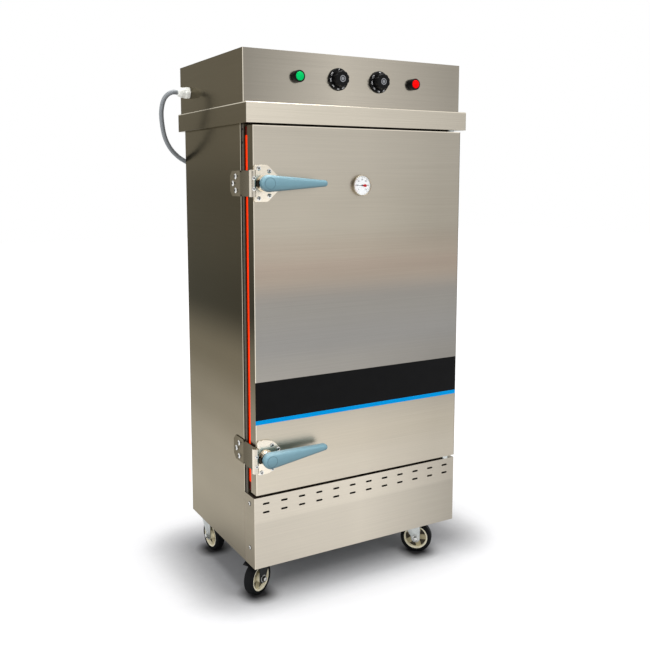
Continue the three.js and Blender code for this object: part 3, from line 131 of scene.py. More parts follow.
def finish_piece(name, mesh, material, body, node=None, smooth=35.0):
    """Links a mesh as a piece that rides on a body and may stand for a node or a tuple of nodes.
    Edges sharper than the angle smooth stay sharp."""
    mesh.name = name
    piece = bpy.data.objects.new(name, mesh)
    SCENE.collection.objects.link(piece)
    mesh.materials.clear()
    mesh.materials.append(material)
    mesh.shade_smooth()
    mesh.set_sharp_from_angle(angle=math.radians(smooth))
    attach(piece, body)
    replaced = (node,) if isinstance(node, str) else node or ()
    for each in replaced:
        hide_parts(each)
    return piece


def axes_for(direction):
    """Unit vectors (u, v, w) with w along the direction, u and v square to it."""
    w = np.array(direction, float)
    w /= np.linalg.norm(w)
    u = np.cross([0.0, 0.0, 1.0] if abs(w[2]) < 0.9 else [1.0, 0.0, 0.0], w)
    u /= np.linalg.norm(u)
    return u, np.cross(w, u), w


def turned(axes, angle):
    """The axes (u, v, w) turned about w by an angle in radians: u cos + v sin, v cos - u sin, w."""
    u, v, w = axes
    c, s = math.cos(angle), math.sin(angle)
    return c * u + s * v, c * v - s * u, w


def revolved(profile, centre, direction, sides=FINE_SIDES, wave=None):
    """Point = centre + r cos(a) u + r sin(a) v + h w for each profile pair (r, h) in millimetres
    and each angle a round the full turn. wave(a, r, h) may change r."""
    r, h = np.array(profile, float).T[:, :, None]
    a = np.linspace(0.0, 2.0 * np.pi, sides, endpoint=False)[None, :]
    r = np.broadcast_to(r, (len(profile), sides))
    if wave is not None:
        r = wave(a, r, h)
    u, v, w = axes_for(direction)
    points = (
        (r * np.cos(a) * MM)[..., None] * u
        + (r * np.sin(a) * MM)[..., None] * v
        + (np.broadcast_to(h, r.shape) * MM)[..., None] * w
        + np.array(centre)
    )
    closed = profile[0] == profile[-1]
    return mesh_from("revolved", points, grid_faces(len(profile), sides, closed, True))


def rounded(profile, radius, steps=4):
    """The profile with each inner corner replaced by a quadratic curve that starts and ends a
    radius before and after the corner, or 0.45 of a shorter side from it:
    (1-t)^2 a + 2t(1-t) corner + t^2 b."""
    p = np.array(profile, float)
    out = [p[0]]
    t = np.linspace(0.0, 1.0, steps + 1)[:, None]
    for before, corner, after in zip(p[:-2], p[1:-1], p[2:]):
        ends = []
        for other in (before, after):
            gap = np.linalg.norm(other - corner)
            ends.append(corner + (other - corner) / max(gap, 1e-9) * min(radius, 0.45 * gap))
        a, b = ends
        out.extend((1 - t) ** 2 * a + 2 * t * (1 - t) * corner + t ** 2 * b)
    out.append(p[-1])
    return [tuple(q) for q in out]


def edged(before, edge, after, radius):
    """A profile whose middle stretch has rounded corners. That stretch's two ends are left out."""
    return before + rounded(edge, radius)[1:-1] + after


def tube_along(path, radius, sides):
    """Rings of the radius square to the path, turned as little as possible from one to the next.
    Each end is closed by a ring drawn in to the path's end."""
    p = np.array(path, float)
    t = np.gradient(p, axis=0)
    t /= np.linalg.norm(t, axis=1)[:, None]
    u = np.zeros_like(t)
    u[0] = axes_for(t[0])[0]
    for i in range(1, len(t)):
        u[i] = u[i - 1] - t[i] * np.dot(u[i - 1], t[i])
        u[i] /= np.linalg.norm(u[i])
    v = np.cross(t, u)
    a = np.linspace(0.0, 2.0 * np.pi, sides, endpoint=False)
    c, s = np.cos(a)[None, :, None], np.sin(a)[None, :, None]
    rings = p[:, None] + radius * (c * u[:, None] + s * v[:, None])
    first, last = (np.broadcast_to(end, (1, sides, 3)) for end in (p[0], p[-1]))
    rings = np.concatenate([first, rings, last])
    return mesh_from("tube", rings, grid_faces(len(rings), sides, False, True))


def prism(outline, low, high, axes, centre, edge=0.0, steps=3):
    """An outline (u, v) in millimetres carried along w from low to high. Both ends are rounded:
    for s from 0 to a quarter turn the outline lies edge(1 - cos s) from the end and is drawn in by
    edge(1 - sin s) towards its own inside. Each end is closed by a ring drawn in to its middle."""
    o = np.array(outline, float)
    ahead = np.roll(o, -1, 0) - np.roll(o, 1, 0)
    ahead /= np.linalg.norm(ahead, axis=1)[:, None]
    inward = np.stack([-ahead[:, 1], ahead[:, 0]], -1)
    area = np.sum(o[:, 0] * np.roll(o[:, 1], -1) - np.roll(o[:, 0], -1) * o[:, 1])
    inward *= np.sign(area)
    s = np.linspace(0.0, np.pi / 2, steps + 1) if edge else np.array([np.pi / 2])
    insets = edge * (1 - np.sin(s))
    lifts = edge * (1 - np.cos(s))
    u, v, w = axes
    middle = [np.tile(o.mean(0), (len(o), 1))]
    rings = middle + [o + inward * k for k in (*insets, *insets[::-1])] + middle
    heights = (low, *(low + lifts), *(high - lifts[::-1]), high)
    points = np.stack([
        (ring[:, :1] * u + ring[:, 1:] * v + h * w) * MM + np.array(centre)
        for ring, h in zip(rings, heights)
    ])
    return mesh_from("prism", points, grid_faces(len(points), len(o), False, True))


def arc(centre, radius, start, stop, steps):
    """Points centre + radius (cos a, sin a) for angles a from start to stop in degrees."""
    a = np.radians(np.linspace(start, stop, steps))
    return [tuple(q) for q in np.array(centre) + radius * np.stack([np.cos(a), np.sin(a)], -1)]


# Axes (u, v, w) in the plane of the front and of the left side, w away from the cabinet.
FRONT_AXES = (np.array([1.0, 0, 0]), np.array([0, 0, 1.0]), np.array([0, -1.0, 0]))
LEFT_AXES = (np.array([0, -1.0, 0]), np.array([0, 0, 1.0]), np.array([-1.0, 0, 0]))


def softened(node, name, material, body, width, segments=2, angle=50.0, smooth=35.0):
    """A merged copy of a node with flat faces joined and its outer edges rounded off by width."""
    mesh = NODES[node].data.copy()
    work = bmesh.new()
    work.from_mesh(mesh)
    bmesh.ops.remove_doubles(work, verts=work.verts, dist=2e-6)
    flat = math.radians(1.0)
    bmesh.ops.dissolve_limit(work, angle_limit=flat, verts=work.verts, edges=work.edges)
    work.to_mesh(mesh)
    work.free()
    piece = finish_piece(name, mesh, material, body, node, smooth)
    bevel = piece.modifiers.new("edge", "BEVEL")
    bevel.width = width * MM
    bevel.segments = segments
    bevel.limit_method = "ANGLE"
    bevel.angle_limit = math.radians(angle)
    bevel.harden_normals = False


# ---------------------------------------------------------------- finishes
def srgb(r, g, b):
    """A screen colour (0 to 255) as a linear one."""
    c = np.array([r, g, b], float) / 255.0
    c = np.where(c <= 0.04045, c / 12.92, ((c + 0.055) / 1.055) ** 2.4)
    return (*c.tolist(), 1.0)


def grey(value):
    """A neutral linear colour."""
    return (value, value, value, 1.0)


def warm(level, cast=1.0):
    """Steel's tone: a brightness from 0 to 255 and how far it leans to yellow."""
    return srgb(level, level * (1.0 - 0.038 * cast), level * (1.0 - 0.11 * cast))


def levels(*stops):
    """Stops of a ramp, each a place and the numbers of a steel tone."""
    return [(place, warm(*tone)) for place, *tone in stops]


def greys(*stops):
    """Stops of a ramp, each a place and a neutral value."""
    return [(place, grey(value)) for place, value in stops]


def darker(colour, factor):
    """The colour times a factor."""
    return tuple(factor * c for c in colour[:3]) + (1.0,)


def lit(colour, strength):
    """Sockets for a painted glow: a surface with a little light of its own, though it is no lamp.
    """
    return {"Emission_Color": colour, "Emission_Strength": strength}


class Nodes:
    """A node tree and the few kinds of node that the finishes, floor and sky are made of."""

    def __init__(self, tree):
        self.tree = tree

    def node(self, kind, **values):
        made = self.tree.nodes.new(kind)
        for key, value in values.items():
            setattr(made, key, value)
        return made

    def link(self, a, b):
        self.tree.links.new(a, b)

    def feed(self, socket, value):
        """Links an output to the socket, or sets the socket to a plain value."""
        if isinstance(value, bpy.types.NodeSocket):
            self.link(value, socket)
        else:
            socket.default_value = value

    def span(self, value, low, high, to_low=0.0, to_high=1.0):
        """to_low up to low, to_high from high on, and a straight run between the two."""
        node = self.node("ShaderNodeMapRange")
        sockets = ("From Min", "From Max", "To Min", "To Max")
        for socket, setting in zip(sockets, (low, high, to_low, to_high)):
            node.inputs[socket].default_value = setting
        self.link(value, node.inputs["Value"])
        return node.outputs["Result"]

    def calc(self, operation, a, b):
        """One operation on two numbers."""
        node = self.node("ShaderNodeMath", operation=operation)
        self.link(a, node.inputs[0])
        self.link(b, node.inputs[1])
        return node.outputs[0]

    def dot(self, a, b):
        """The dot product of a vector output and a plain vector."""
        node = self.node("ShaderNodeVectorMath", operation="DOT_PRODUCT")
        self.link(a, node.inputs[0])
        node.inputs[1].default_value = b
        return node.outputs["Value"]

    def blend(self, a, b, share):
        """The number a + (b - a) share."""
        node = self.node("ShaderNodeMix")
        for place, value in zip((0, 2, 3), (share, a, b)):
            self.feed(node.inputs[place], value)
        return node.outputs[0]

    def mix(self, a, b, share, kind="MIX"):
        """The colour a + (b - a) share."""
        node = self.node("ShaderNodeMix", data_type="RGBA", blend_type=kind)
        for place, value in zip((0, 6, 7), (share, a, b)):
            self.feed(node.inputs[place], value)
        return node.outputs[2]

    def times(self, a, b, share=1.0):
        """The colour a times b, or a times less of b where the share is below 1."""
        return self.mix(a, b, share, "MULTIPLY")

    def ramp(self, value, stops, kind="EASE"):
        """The colour that the stops give at a value from 0 to 1."""
        node = self.node("ShaderNodeValToRGB")
        node.color_ramp.interpolation = kind
        elements = node.color_ramp.elements
        elements.remove(elements[1])
        for i, (place, colour) in enumerate(stops):
            element = elements[0] if i == 0 else elements.new(place)
            element.position = place
            element.color = colour
        self.link(value, node.inputs["Fac"])
        return node.outputs["Color"]

    def seen(self):
        """1 for camera, glossy and transmission rays, 0 for the rest."""
        path = self.node("ShaderNodeLightPath")
        seen = path.outputs["Is Camera Ray"]
        for kind in ("Is Glossy Ray", "Is Transmission Ray"):
            seen = self.calc("MAXIMUM", seen, path.outputs[kind])
        return seen


class Finish(Nodes):
    """A material in the making. A socket is named with _ for each space."""

    def __init__(self, name, **sockets):
        self.material = bpy.data.materials.new(name)
        self.material.use_nodes = True
        super().__init__(self.material.node_tree)
        self.shader = self.tree.nodes["Principled BSDF"]
        for key, value in sockets.items():
            self.shader.inputs[key.replace("_", " ")].default_value = value
        self.where = self.node("ShaderNodeTexCoord").outputs["Object"]

    def noise(self, scale, stretch=(1.0, 1.0, 1.0), detail=3.0, rough=0.6):
        """Noise from 0 to 1 over the places on the piece, finer along an axis by its stretch."""
        mapping = self.node("ShaderNodeMapping")
        mapping.inputs["Scale"].default_value = stretch
        self.link(self.where, mapping.inputs["Vector"])
        texture = self.node("ShaderNodeTexNoise")
        texture.inputs["Scale"].default_value = scale
        texture.inputs["Detail"].default_value = detail
        texture.inputs["Roughness"].default_value = rough
        self.link(mapping.outputs["Vector"], texture.inputs["Vector"])
        return texture.outputs["Fac"]

    def axis(self, letter):
        """The X, Y or Z of a place in metres."""
        node = self.node("ShaderNodeSeparateXYZ")
        self.link(self.where, node.inputs["Vector"])
        return node.outputs[letter]

    def outside(self, centre, half):
        """How far a place lies outside an upright box: length of max(|p - centre| - half, 0)."""
        away = self.where
        steps = (("SUBTRACT", centre), ("ABSOLUTE", None), ("SUBTRACT", half),
                 ("MAXIMUM", (0, 0, 0)), ("LENGTH", None))
        for kind, value in steps:
            node = self.node("ShaderNodeVectorMath", operation=kind)
            self.link(away, node.inputs[0])
            if value is not None:
                node.inputs[1].default_value = value
            away = node.outputs["Value" if kind == "LENGTH" else "Vector"]
        return away

    def colour(self, value):
        self.link(value, self.shader.inputs["Base Color"])

    def rough(self, value):
        self.link(value, self.shader.inputs["Roughness"])

    def glow(self, value):
        self.link(value, self.shader.inputs["Emission Strength"])

    def bump(self, value, strength, distance):
        """Relief that follows the value, distance high in metres."""
        node = self.node("ShaderNodeBump")
        node.inputs["Strength"].default_value = strength
        node.inputs["Distance"].default_value = distance
        self.link(value, node.inputs["Height"])
        self.link(node.outputs["Normal"], self.shader.inputs["Normal"])


# Painted highlights on bright steel edges; painted shade on a dark edge and the jamb behind the
# door.
EDGE_HIGHLIGHT = warm(238)
PANEL_EDGE_HIGHLIGHT = warm(222)
SIDE_EDGE_HIGHLIGHT = warm(208, 1.2)
DARK_EDGE_SHADE = warm(104, 1.6)
JAMB_SHADE = warm(74, 2.2)
EDGE_TINT = (0.55, 0.55, 0.52, 1.0)
# Painted reflection: a pink tint at some heights of the door.
PINK_REFLECTION_TINT = (1.04, 0.90, 0.90, 1.0)
BRUSH_LINES = (3.0, 3.0, 520.0)

# Heights in metres where the sheets start and end, and the half width that tones run across.
BODY_FOOT, PANEL_TOP = 0.116, 0.323
DOOR_FOOT, DOOR_TOP = 0.333, 1.346
BAND_FOOT, BAND_TOP, BOX_TOP = 1.352, 1.406, 1.547
HALF_ACROSS = 0.37
# Widths in metres over which one tone passes into the next.
PAINTED_EDGE_START, SIDE_BLEND, RIM_BLEND = 0.001, 0.0004, 0.0006

# Painted reflections: the steel's tone on the sides and on the door, from the foot upwards.
SIDE_SPAN = (BODY_FOOT, BOX_TOP)
SIDE_REFLECTION_STOPS = levels(
    (0.02, 165, 1.4), (0.08, 169, 1.4), (0.14, 163, 1.4), (0.20, 158, 1.5), (0.29, 137, 1.7),
    (0.40, 109, 2.1), (0.51, 55, 2.1), (0.72, 75, 2.3), (0.85, 95, 2.2), (0.95, 99, 2.1))
DOOR_REFLECTION_STOPS = levels(
    (0.04, 195, 1.1), (0.12, 189, 1.2), (0.34, 148, 0.6), (0.41, 143, 0.4), (0.52, 145, 0.6),
    (0.60, 163, 1.2), (0.66, 172, 1.2), (0.76, 181, 1.1), (0.95, 188, 1.0))


def brushed_steel(name, stops, low, high, across=None, side=None, painted_edges=(), fade=None, pink_reflection=None,
                  rim=None, roughness=0.34):
    """Brushed sheet metal with painted light. Its tone, a painted reflection, runs with height from
    low to high, times a painted reflection factor that runs across it. fade weakens that factor
    with height, and pink_reflection reddens the tone with height as a painted reflection. Each
    painted edge (axis, edge, reach, colour, and if need be a height that it starts at) tints the
    strip past an edge as a painted highlight or painted shade. Faces beyond side (a distance from
    the middle) take the painted reflection tone of the cabinet's sides. Above the height rim all is
    bright, a painted highlight. A dull edge tint keeps the metal's tone where it is seen at a low
    angle."""
    steel = Finish(name, Metallic=1.0, Roughness=roughness, Specular_Tint=EDGE_TINT)
    height, x = steel.axis("Z"), steel.axis("X")
    share = steel.span(height, low, high)
    # Painted reflection: the tone runs with height, times a factor across the sheet.
    tone = steel.ramp(share, stops)
    if across:
        factor = steel.ramp(steel.span(x, -HALF_ACROSS, HALF_ACROSS), across, "LINEAR")
        tone = steel.times(tone, factor, steel.ramp(share, fade, "LINEAR") if fade else 1.0)
    # A pink painted reflection, stronger at some heights.
    if pink_reflection:
        tone = steel.times(tone, PINK_REFLECTION_TINT, steel.ramp(share, pink_reflection))
    # Painted highlights and painted shade in strips along edges.
    for axis, edge, reach, colour, *above in painted_edges:
        strip = steel.span(steel.axis(axis), edge, edge + reach)
        if above:
            strip = steel.times(strip, steel.span(height, above[0], above[0] + PAINTED_EDGE_START))
        tone = steel.mix(tone, colour, strip)
    # Faces beyond side take the sides' painted reflection tone.
    if side:
        side_tone = steel.ramp(steel.span(height, *SIDE_SPAN), SIDE_REFLECTION_STOPS)
        for edge, out in ((-side, -side - SIDE_BLEND), (side, side + SIDE_BLEND)):
            tone = steel.mix(tone, side_tone, steel.span(x, edge, out))
    # A painted highlight above the height rim.
    if rim:
        tone = steel.mix(tone, EDGE_HIGHLIGHT, steel.span(height, rim, rim + RIM_BLEND))
    lines = steel.noise(1.0, BRUSH_LINES, 6.0, 0.7)
    tone = steel.times(tone, steel.span(lines, 0.3, 0.7, 0.94, 1.06))
    cloud = steel.span(steel.noise(2.2, detail=2.0), 0.3, 0.7, 0.97, 1.03)
    steel.colour(steel.times(tone, cloud))
    steel.rough(steel.span(lines, 0.25, 0.75, roughness - 0.06, roughness + 0.06))
    steel.bump(lines, 0.05, 0.0002)
    return steel.material


def steel_plain(name, colour, roughness=0.3, grain=(40.0, 40.0, 40.0), low=0.8):
    """Steel of one colour with grains down to low times its brightness."""
    steel = Finish(name, Base_Color=colour, Metallic=1.0, Roughness=roughness)
    grit = steel.noise(6.0, grain, 5.0)
    steel.colour(steel.mix(colour, darker(colour, low), steel.span(grit, 0.3, 0.7)))
    steel.rough(steel.span(grit, 0.3, 0.7, roughness - 0.05, roughness + 0.08))
    steel.bump(grit, 0.05, 0.0003)
    return steel.material


def plastic(name, colour, roughness, grit_scale=300.0, bump=0.08, depth=0.0003, low=0.9, **sockets):
    """Plastic, rubber or foam of one colour with grit down to low times its brightness."""
    body = Finish(name, Base_Color=colour, Roughness=roughness, **sockets)
    grit = body.noise(grit_scale, detail=4.0)
    body.colour(body.mix(colour, darker(colour, low), body.span(grit, 0.35, 0.65)))
    body.rough(body.span(grit, 0.3, 0.7, roughness - 0.05, roughness + 0.08))
    body.bump(grit, bump, depth)
    return body.material


def enamel(name, colour, roughness, low=0.9, grit_scale=60.0, **sockets):
    """Plastic with a smooth even skin."""
    return plastic(name, colour, roughness, grit_scale, 0.02, 0.0001, low, **sockets)


def seal_finish():
    """Orange silicone with painted light: a glow on its left strip between the corners, a weaker
    glow on its orange back, and painted shade that darkens its other flanks."""
    seal = Finish("seal_rubber", Specular_IOR_Level=0.05, Emission_Color=srgb(255, 54, 0))
    left = seal.span(seal.axis("X"), -0.333, -0.330, 1.0, 0.0)
    for edge, out in ((0.362, 0.360), (1.320, 1.322)):
        left = seal.times(left, seal.span(seal.axis("Z"), edge, out, 1.0, 0.0))
    back = max(v.co.y for v in NODES["door_gasket"].data.vertices)
    rear = seal.span(seal.axis("Y"), back - 0.0010, back - 0.0004)
    grit = seal.noise(120.0)
    # Painted shade darkens the flanks other than the back and the left strip.
    tone = seal.mix(srgb(84, 16, 6), srgb(226, 50, 10), rear)
    seal.colour(seal.mix(tone, seal.mix(srgb(255, 54, 4), srgb(240, 44, 4), grit), left))
    # A painted glow: strong on the left strip, weak on the back.
    seal.glow(seal.mix(seal.span(rear, 0.0, 1.0, 0.0, 0.2), grey(0.6), left))
    seal.bump(grit, 0.06, 0.0003)
    return seal.material


def lever_coat(name, z, tilt):
    """Blue-grey paint on a handle that runs at a tilt through the height z, with painted light: a
    painted highlight along its upper edge and painted shade along its lower one."""
    coat = Finish(f"lever_coat_{name}", Roughness=0.34, Coat_Weight=0.2, Coat_Roughness=0.15)
    across = turned(FRONT_AXES, math.radians(tilt))[1]
    middle = float(np.dot(at(LATCH_X, 0, z), across))
    half = LEVER_ROOT * MM
    share = coat.span(coat.dot(coat.where, across), middle - half, middle + half)
    # Painted shade below, painted highlight above, across the handle.
    tone = coat.ramp(share, [
        (0.0, srgb(90, 124, 136)), (0.25, srgb(108, 148, 160)), (0.5, srgb(118, 161, 175)),
        (0.75, srgb(132, 175, 189)), (1.0, srgb(164, 201, 213))])
    grit = coat.noise(60.0)
    coat.colour(coat.times(tone, coat.span(grit, 0.35, 0.65, 0.98, 1.02)))
    coat.bump(grit, 0.04, 0.0002)
    return coat.material


def keeper_finish():
    """Steel with painted light: a side plate in the painted reflection tone of the body's side, a
    painted highlight on the round post in front, and painted shade on its face towards the door."""
    steel = Finish("keeper_steel", Metallic=1.0, Roughness=0.26, Specular_Tint=EDGE_TINT)
    depth = steel.span(steel.axis("Y"), at(0, 130, 0)[1], at(0, -34, 0)[1])
    # Painted reflection and highlight by depth, from the side plate to the post.
    tone = steel.ramp(depth, levels(
        (0.0, 112, 2.0), (0.38, 122, 1.8), (0.44, 98, 1.9), (0.84, 112, 1.7), (0.90, 205, 1.1),
        (0.96, 226, 1.0), (1.0, 200, 1.0)))
    # Painted shade on the post's face towards the door.
    tone = steel.times(tone, steel.span(steel.axis("X"), -0.3515, -0.3485, 1.0, 0.4))
    grit = steel.noise(1.0, (90.0, 90.0, 900.0), 3.0, 0.5)
    steel.colour(steel.times(tone, steel.span(grit, 0.3, 0.7, 0.97, 1.03)))
    steel.rough(steel.span(grit, 0.3, 0.7, 0.22, 0.32))
    steel.bump(grit, 0.02, 0.0002)
    return steel.material


# Painted reflections in each sheet's tone, up and across; painted highlights and shade at edges.
door_steel = brushed_steel(
    "door_steel", DOOR_REFLECTION_STOPS, DOOR_FOOT, DOOR_TOP, side=0.3452,
    across=greys((0.13, 1.06), (0.5, 1.0), (0.86, 0.80), (1.0, 0.78)),
    painted_edges=[("X", -0.3431, -0.0008, EDGE_HIGHLIGHT), ("Z", 1.3434, 0.0008, EDGE_HIGHLIGHT),
          ("X", 0.3440, 0.0006, DARK_EDGE_SHADE)],
    fade=greys((0.30, 1.0), (0.42, 0.1), (0.56, 0.1), (0.70, 1.0)),
    pink_reflection=greys((0.50, 0.0), (0.62, 0.6), (0.66, 0.3), (0.74, 0.0)))
# The side's front edge gets a painted highlight, the jamb's return strip painted shade.
side_steel = brushed_steel(
    "side_steel", SIDE_REFLECTION_STOPS, *SIDE_SPAN, roughness=0.2,
    painted_edges=[("Y", at(0, 66.0, 0)[1], -0.0020, SIDE_EDGE_HIGHLIGHT, 0.325),
          ("Y", at(0, 62.3, 0)[1], -0.0002, JAMB_SHADE)])
panel_steel = brushed_steel(
    "panel_steel", levels((0.0, 206), (0.62, 204), (0.68, 213)), BODY_FOOT, PANEL_TOP, side=0.3494,
    across=greys((0.05, 0.90), (0.5, 0.94), (0.95, 0.57)),
    painted_edges=[("X", -0.3477, -0.0006, PANEL_EDGE_HIGHLIGHT)])
band_steel = brushed_steel(
    "band_steel", levels((0.0, 208)), BAND_FOOT, BAND_TOP, side=0.3643, rim=1.4030, roughness=0.2,
    across=greys((0.01, 1.14), (0.5, 1.0), (1.0, 0.77)))
box_steel = brushed_steel(
    "box_steel", levels((0.0, 197), (1.0, 192)), BAND_TOP, BOX_TOP, side=0.3594, roughness=0.2,
    across=greys((0.03, 0.52), (0.42, 0.97), (0.95, 0.60)),
    painted_edges=[("X", -0.3574, -0.0006, EDGE_HIGHLIGHT)])
keeper_steel = keeper_finish()
# The door frame's dark tone is painted shade behind the door.
frame_steel = steel_plain("frame_steel", JAMB_SHADE, 0.4)
inner_steel = steel_plain("inner_steel", srgb(190, 188, 182))
latch_steel = steel_plain("latch_steel", warm(240), 0.24, (16.0, 16.0, 160.0), 0.86)
screw_steel = steel_plain("screw_steel", srgb(225, 225, 222), 0.16)
dial_steel = steel_plain("dial_steel", srgb(190, 180, 162), 0.22)
zinc_steel = steel_plain("zinc_steel", srgb(204, 208, 206), 0.36)
shaded_zinc = steel_plain("shaded_zinc", srgb(60, 62, 62), 0.4)
dark_steel = steel_plain("dark_steel", srgb(62, 56, 48), 0.4)
knob_insert = steel_plain("knob_insert", srgb(150, 152, 156), 0.2)

CREAM = srgb(240, 233, 206)
WHITE = grey(1.0)
foam = plastic("foam", srgb(226, 210, 168), 0.95, 240.0, 0.5, 0.002)
slot_dark = plastic("slot_dark", srgb(18, 17, 15), 0.8)
seal_rubber = seal_finish()
tyre_rubber = plastic(
    "tyre_rubber", srgb(20, 21, 22), 0.6, 420.0, 0.25, 0.0004, 0.6, Specular_IOR_Level=0.12)
# A painted glow keeps the cream wheel plastic pale in shade.
cream_plastic = plastic("cream_plastic", CREAM, 0.35, 90.0, 0.05, **lit(CREAM, 0.12))
# Painted shade: the spokes are a darker copy of the cream plastic.
shaded_spoke_plastic = plastic("shaded_spoke_plastic", srgb(196, 185, 150), 0.45, 90.0, 0.05)
wheel_shade = plastic("wheel_shade", srgb(66, 59, 45), 0.6, 90.0, 0.05)
black_plastic = plastic(
    "black_plastic", srgb(14, 14, 15), 0.3, 500.0, 0.06, 0.0002, 0.7, Specular_IOR_Level=0.12)
# Painted shade: the dark blue of the ring that stands for each lever's groove.
lever_groove = plastic("lever_groove", srgb(74, 108, 122), 0.5, 60.0, 0.04, 0.0002, 0.94)
# A painted glow keeps the gland's white nylon bright in shade.
white_nylon = plastic(
    "white_nylon", srgb(246, 247, 240), 0.4, 90.0, 0.04, **lit((1, 1, 0.95, 1), 0.18))
grey_sheath = plastic("grey_sheath", srgb(158, 163, 166), 0.45, 160.0, 0.05)
# A painted glow on the dial's pale face.
pale_enamel = enamel("pale_enamel", srgb(246, 249, 250), 0.35, 0.98, **lit(WHITE, 0.16))
red_enamel = enamel("red_enamel", srgb(205, 20, 28), 0.4)
ink = enamel("ink", srgb(60, 66, 78), 0.5)
# A painted glow on the white numbers of the knobs.
white_ink = enamel("white_ink", srgb(235, 236, 236), 0.5, 0.95, **lit(WHITE, 0.2))
green_glow = enamel("green_glow", srgb(0, 200, 104), 0.3, 0.85, Specular_IOR_Level=0.06,
                    **lit(srgb(0, 205, 105), 0.18))
red_glow = enamel("red_glow", srgb(250, 4, 4), 0.3, 0.85, Specular_IOR_Level=0.06,
                  **lit(srgb(255, 4, 4), 0.25))
black_film = enamel("black_film", srgb(12, 12, 13), 0.4, 0.85, 30.0, Specular_IOR_Level=0.08)
blue_film = enamel("blue_film", srgb(0, 166, 246), 0.4, 0.95, 30.0, Specular_IOR_Level=0.05)


# ---------------------------------------------------------------- cord, coil and plug
CORD_ROUTE = np.array([
    [-412, 421, 1465], [-424, 428, 1459], [-434, 438, 1444], [-438, 452, 1412], [-432, 466, 1372],
    [-418, 481, 1330], [-396, 494, 1298], [-368, 503, 1274], [-336, 507, 1256], [-302, 508, 1234],
    [-272, 508, 1200], [-252, 508, 1150], [-242, 508, 1085], [-237, 508, 1000], [-234, 508, 900],
    [-232, 508, 780], [-231, 508, 640], [-230, 508, 500], [-230, 508, 360], [-230, 508, 240],
    [-230, 508, 160], [-229, 508, 105], [-221, 509, 62], [-200, 511, 29], [-168, 513, 11.5],
    [-132, 515, 7.3], [-100, 515, 7.3],
], float)
GLAND_MOUTH = np.array([-397.3, GLAND_Y, GLAND_Z])
# The coil in millimetres and turns: its turns in, the part turn that reverses it, the bit past the
# last turn, and steps in each turn.
COIL_CENTRE = np.array([-40.0, 600.0])
COIL_OUTER, COIL_PITCH, COIL_TURNS, COIL_REVERSE = 85.375, 15.0, 1.25, 0.5
COIL_EXTRA, COIL_STEPS = 1.0 / 24.0, 36
COIL_BASE, PLUG_HEIGHT, PLUG_LEAD = 7.3, 27.3, 70.0


def smooth_run(points, per_span):
    """A smooth curve through the points, per_span steps in each span: with knots spaced by the
    square root of the distance, three rounds of straight blends of four neighbouring points."""
    p = np.vstack([2 * points[0] - points[1], points, 2 * points[-1] - points[-2]])
    out = []
    for a, b, c, d in zip(p[:-3], p[1:-2], p[2:-1], p[3:]):
        gaps = [math.sqrt(np.linalg.norm(q - r)) for q, r in ((b, a), (c, b), (d, c))]
        k = np.cumsum([0.0] + gaps)
        t = np.linspace(k[1], k[2], per_span, endpoint=False)[:, None]
        ab = (k[1] - t) / (k[1] - k[0]) * a + (t - k[0]) / (k[1] - k[0]) * b
        bc = (k[2] - t) / (k[2] - k[1]) * b + (t - k[1]) / (k[2] - k[1]) * c
        cd = (k[3] - t) / (k[3] - k[2]) * c + (t - k[2]) / (k[3] - k[2]) * d
        left = (k[2] - t) / (k[2] - k[0]) * ab + (t - k[0]) / (k[2] - k[0]) * bc
        right = (k[3] - t) / (k[3] - k[1]) * bc + (t - k[1]) / (k[3] - k[1]) * cd
        out.append((k[2] - t) / (k[2] - k[1]) * left + (t - k[1]) / (k[2] - k[1]) * right)
    return np.vstack(out + [points[-1:]])


def coil_line():
    """Radius = outer - pitch * turn up to the middle turn and back out the same way. Height rises
    by one pitch over the reversing half turn and to the plug's axis over the last half turn, both
    as 3s^2 - 2s^3. The ends run straight."""
    turns = 2 * COIL_TURNS + COIL_REVERSE + COIL_EXTRA
    middle = COIL_TURNS + COIL_REVERSE / 2
    turn = np.linspace(0.0, turns, int(round(turns * COIL_STEPS)) + 1)
    radius = COIL_OUTER - COIL_PITCH * np.where(turn < middle, turn, 2 * middle - turn)
    climb = np.clip((turn - COIL_TURNS) / COIL_REVERSE, 0, 1)
    leave = np.clip(1 - (turns - turn) / COIL_REVERSE, 0, 1)
    ease = lambda s: s * s * (3 - 2 * s)
    a = 2 * np.pi * (turn - 0.25)
    z = COIL_BASE + COIL_PITCH * ease(climb) + (PLUG_HEIGHT - COIL_BASE - COIL_PITCH) * ease(leave)
    x, y = COIL_CENTRE[0] + radius * np.cos(a), COIL_CENTRE[1] + radius * np.sin(a)
    line = np.stack([x, y, z], -1)
    heading = 2 * np.pi * COIL_EXTRA
    away = np.array([math.cos(heading), math.sin(heading), 0.0])
    start = [line[0] - np.array([lead, 0, 0]) for lead in (14.0, 7.0)]
    end = [line[-1] + away * lead for lead in (20.0, 56.0, PLUG_LEAD)]
    return np.vstack([*start, line, *end]), away


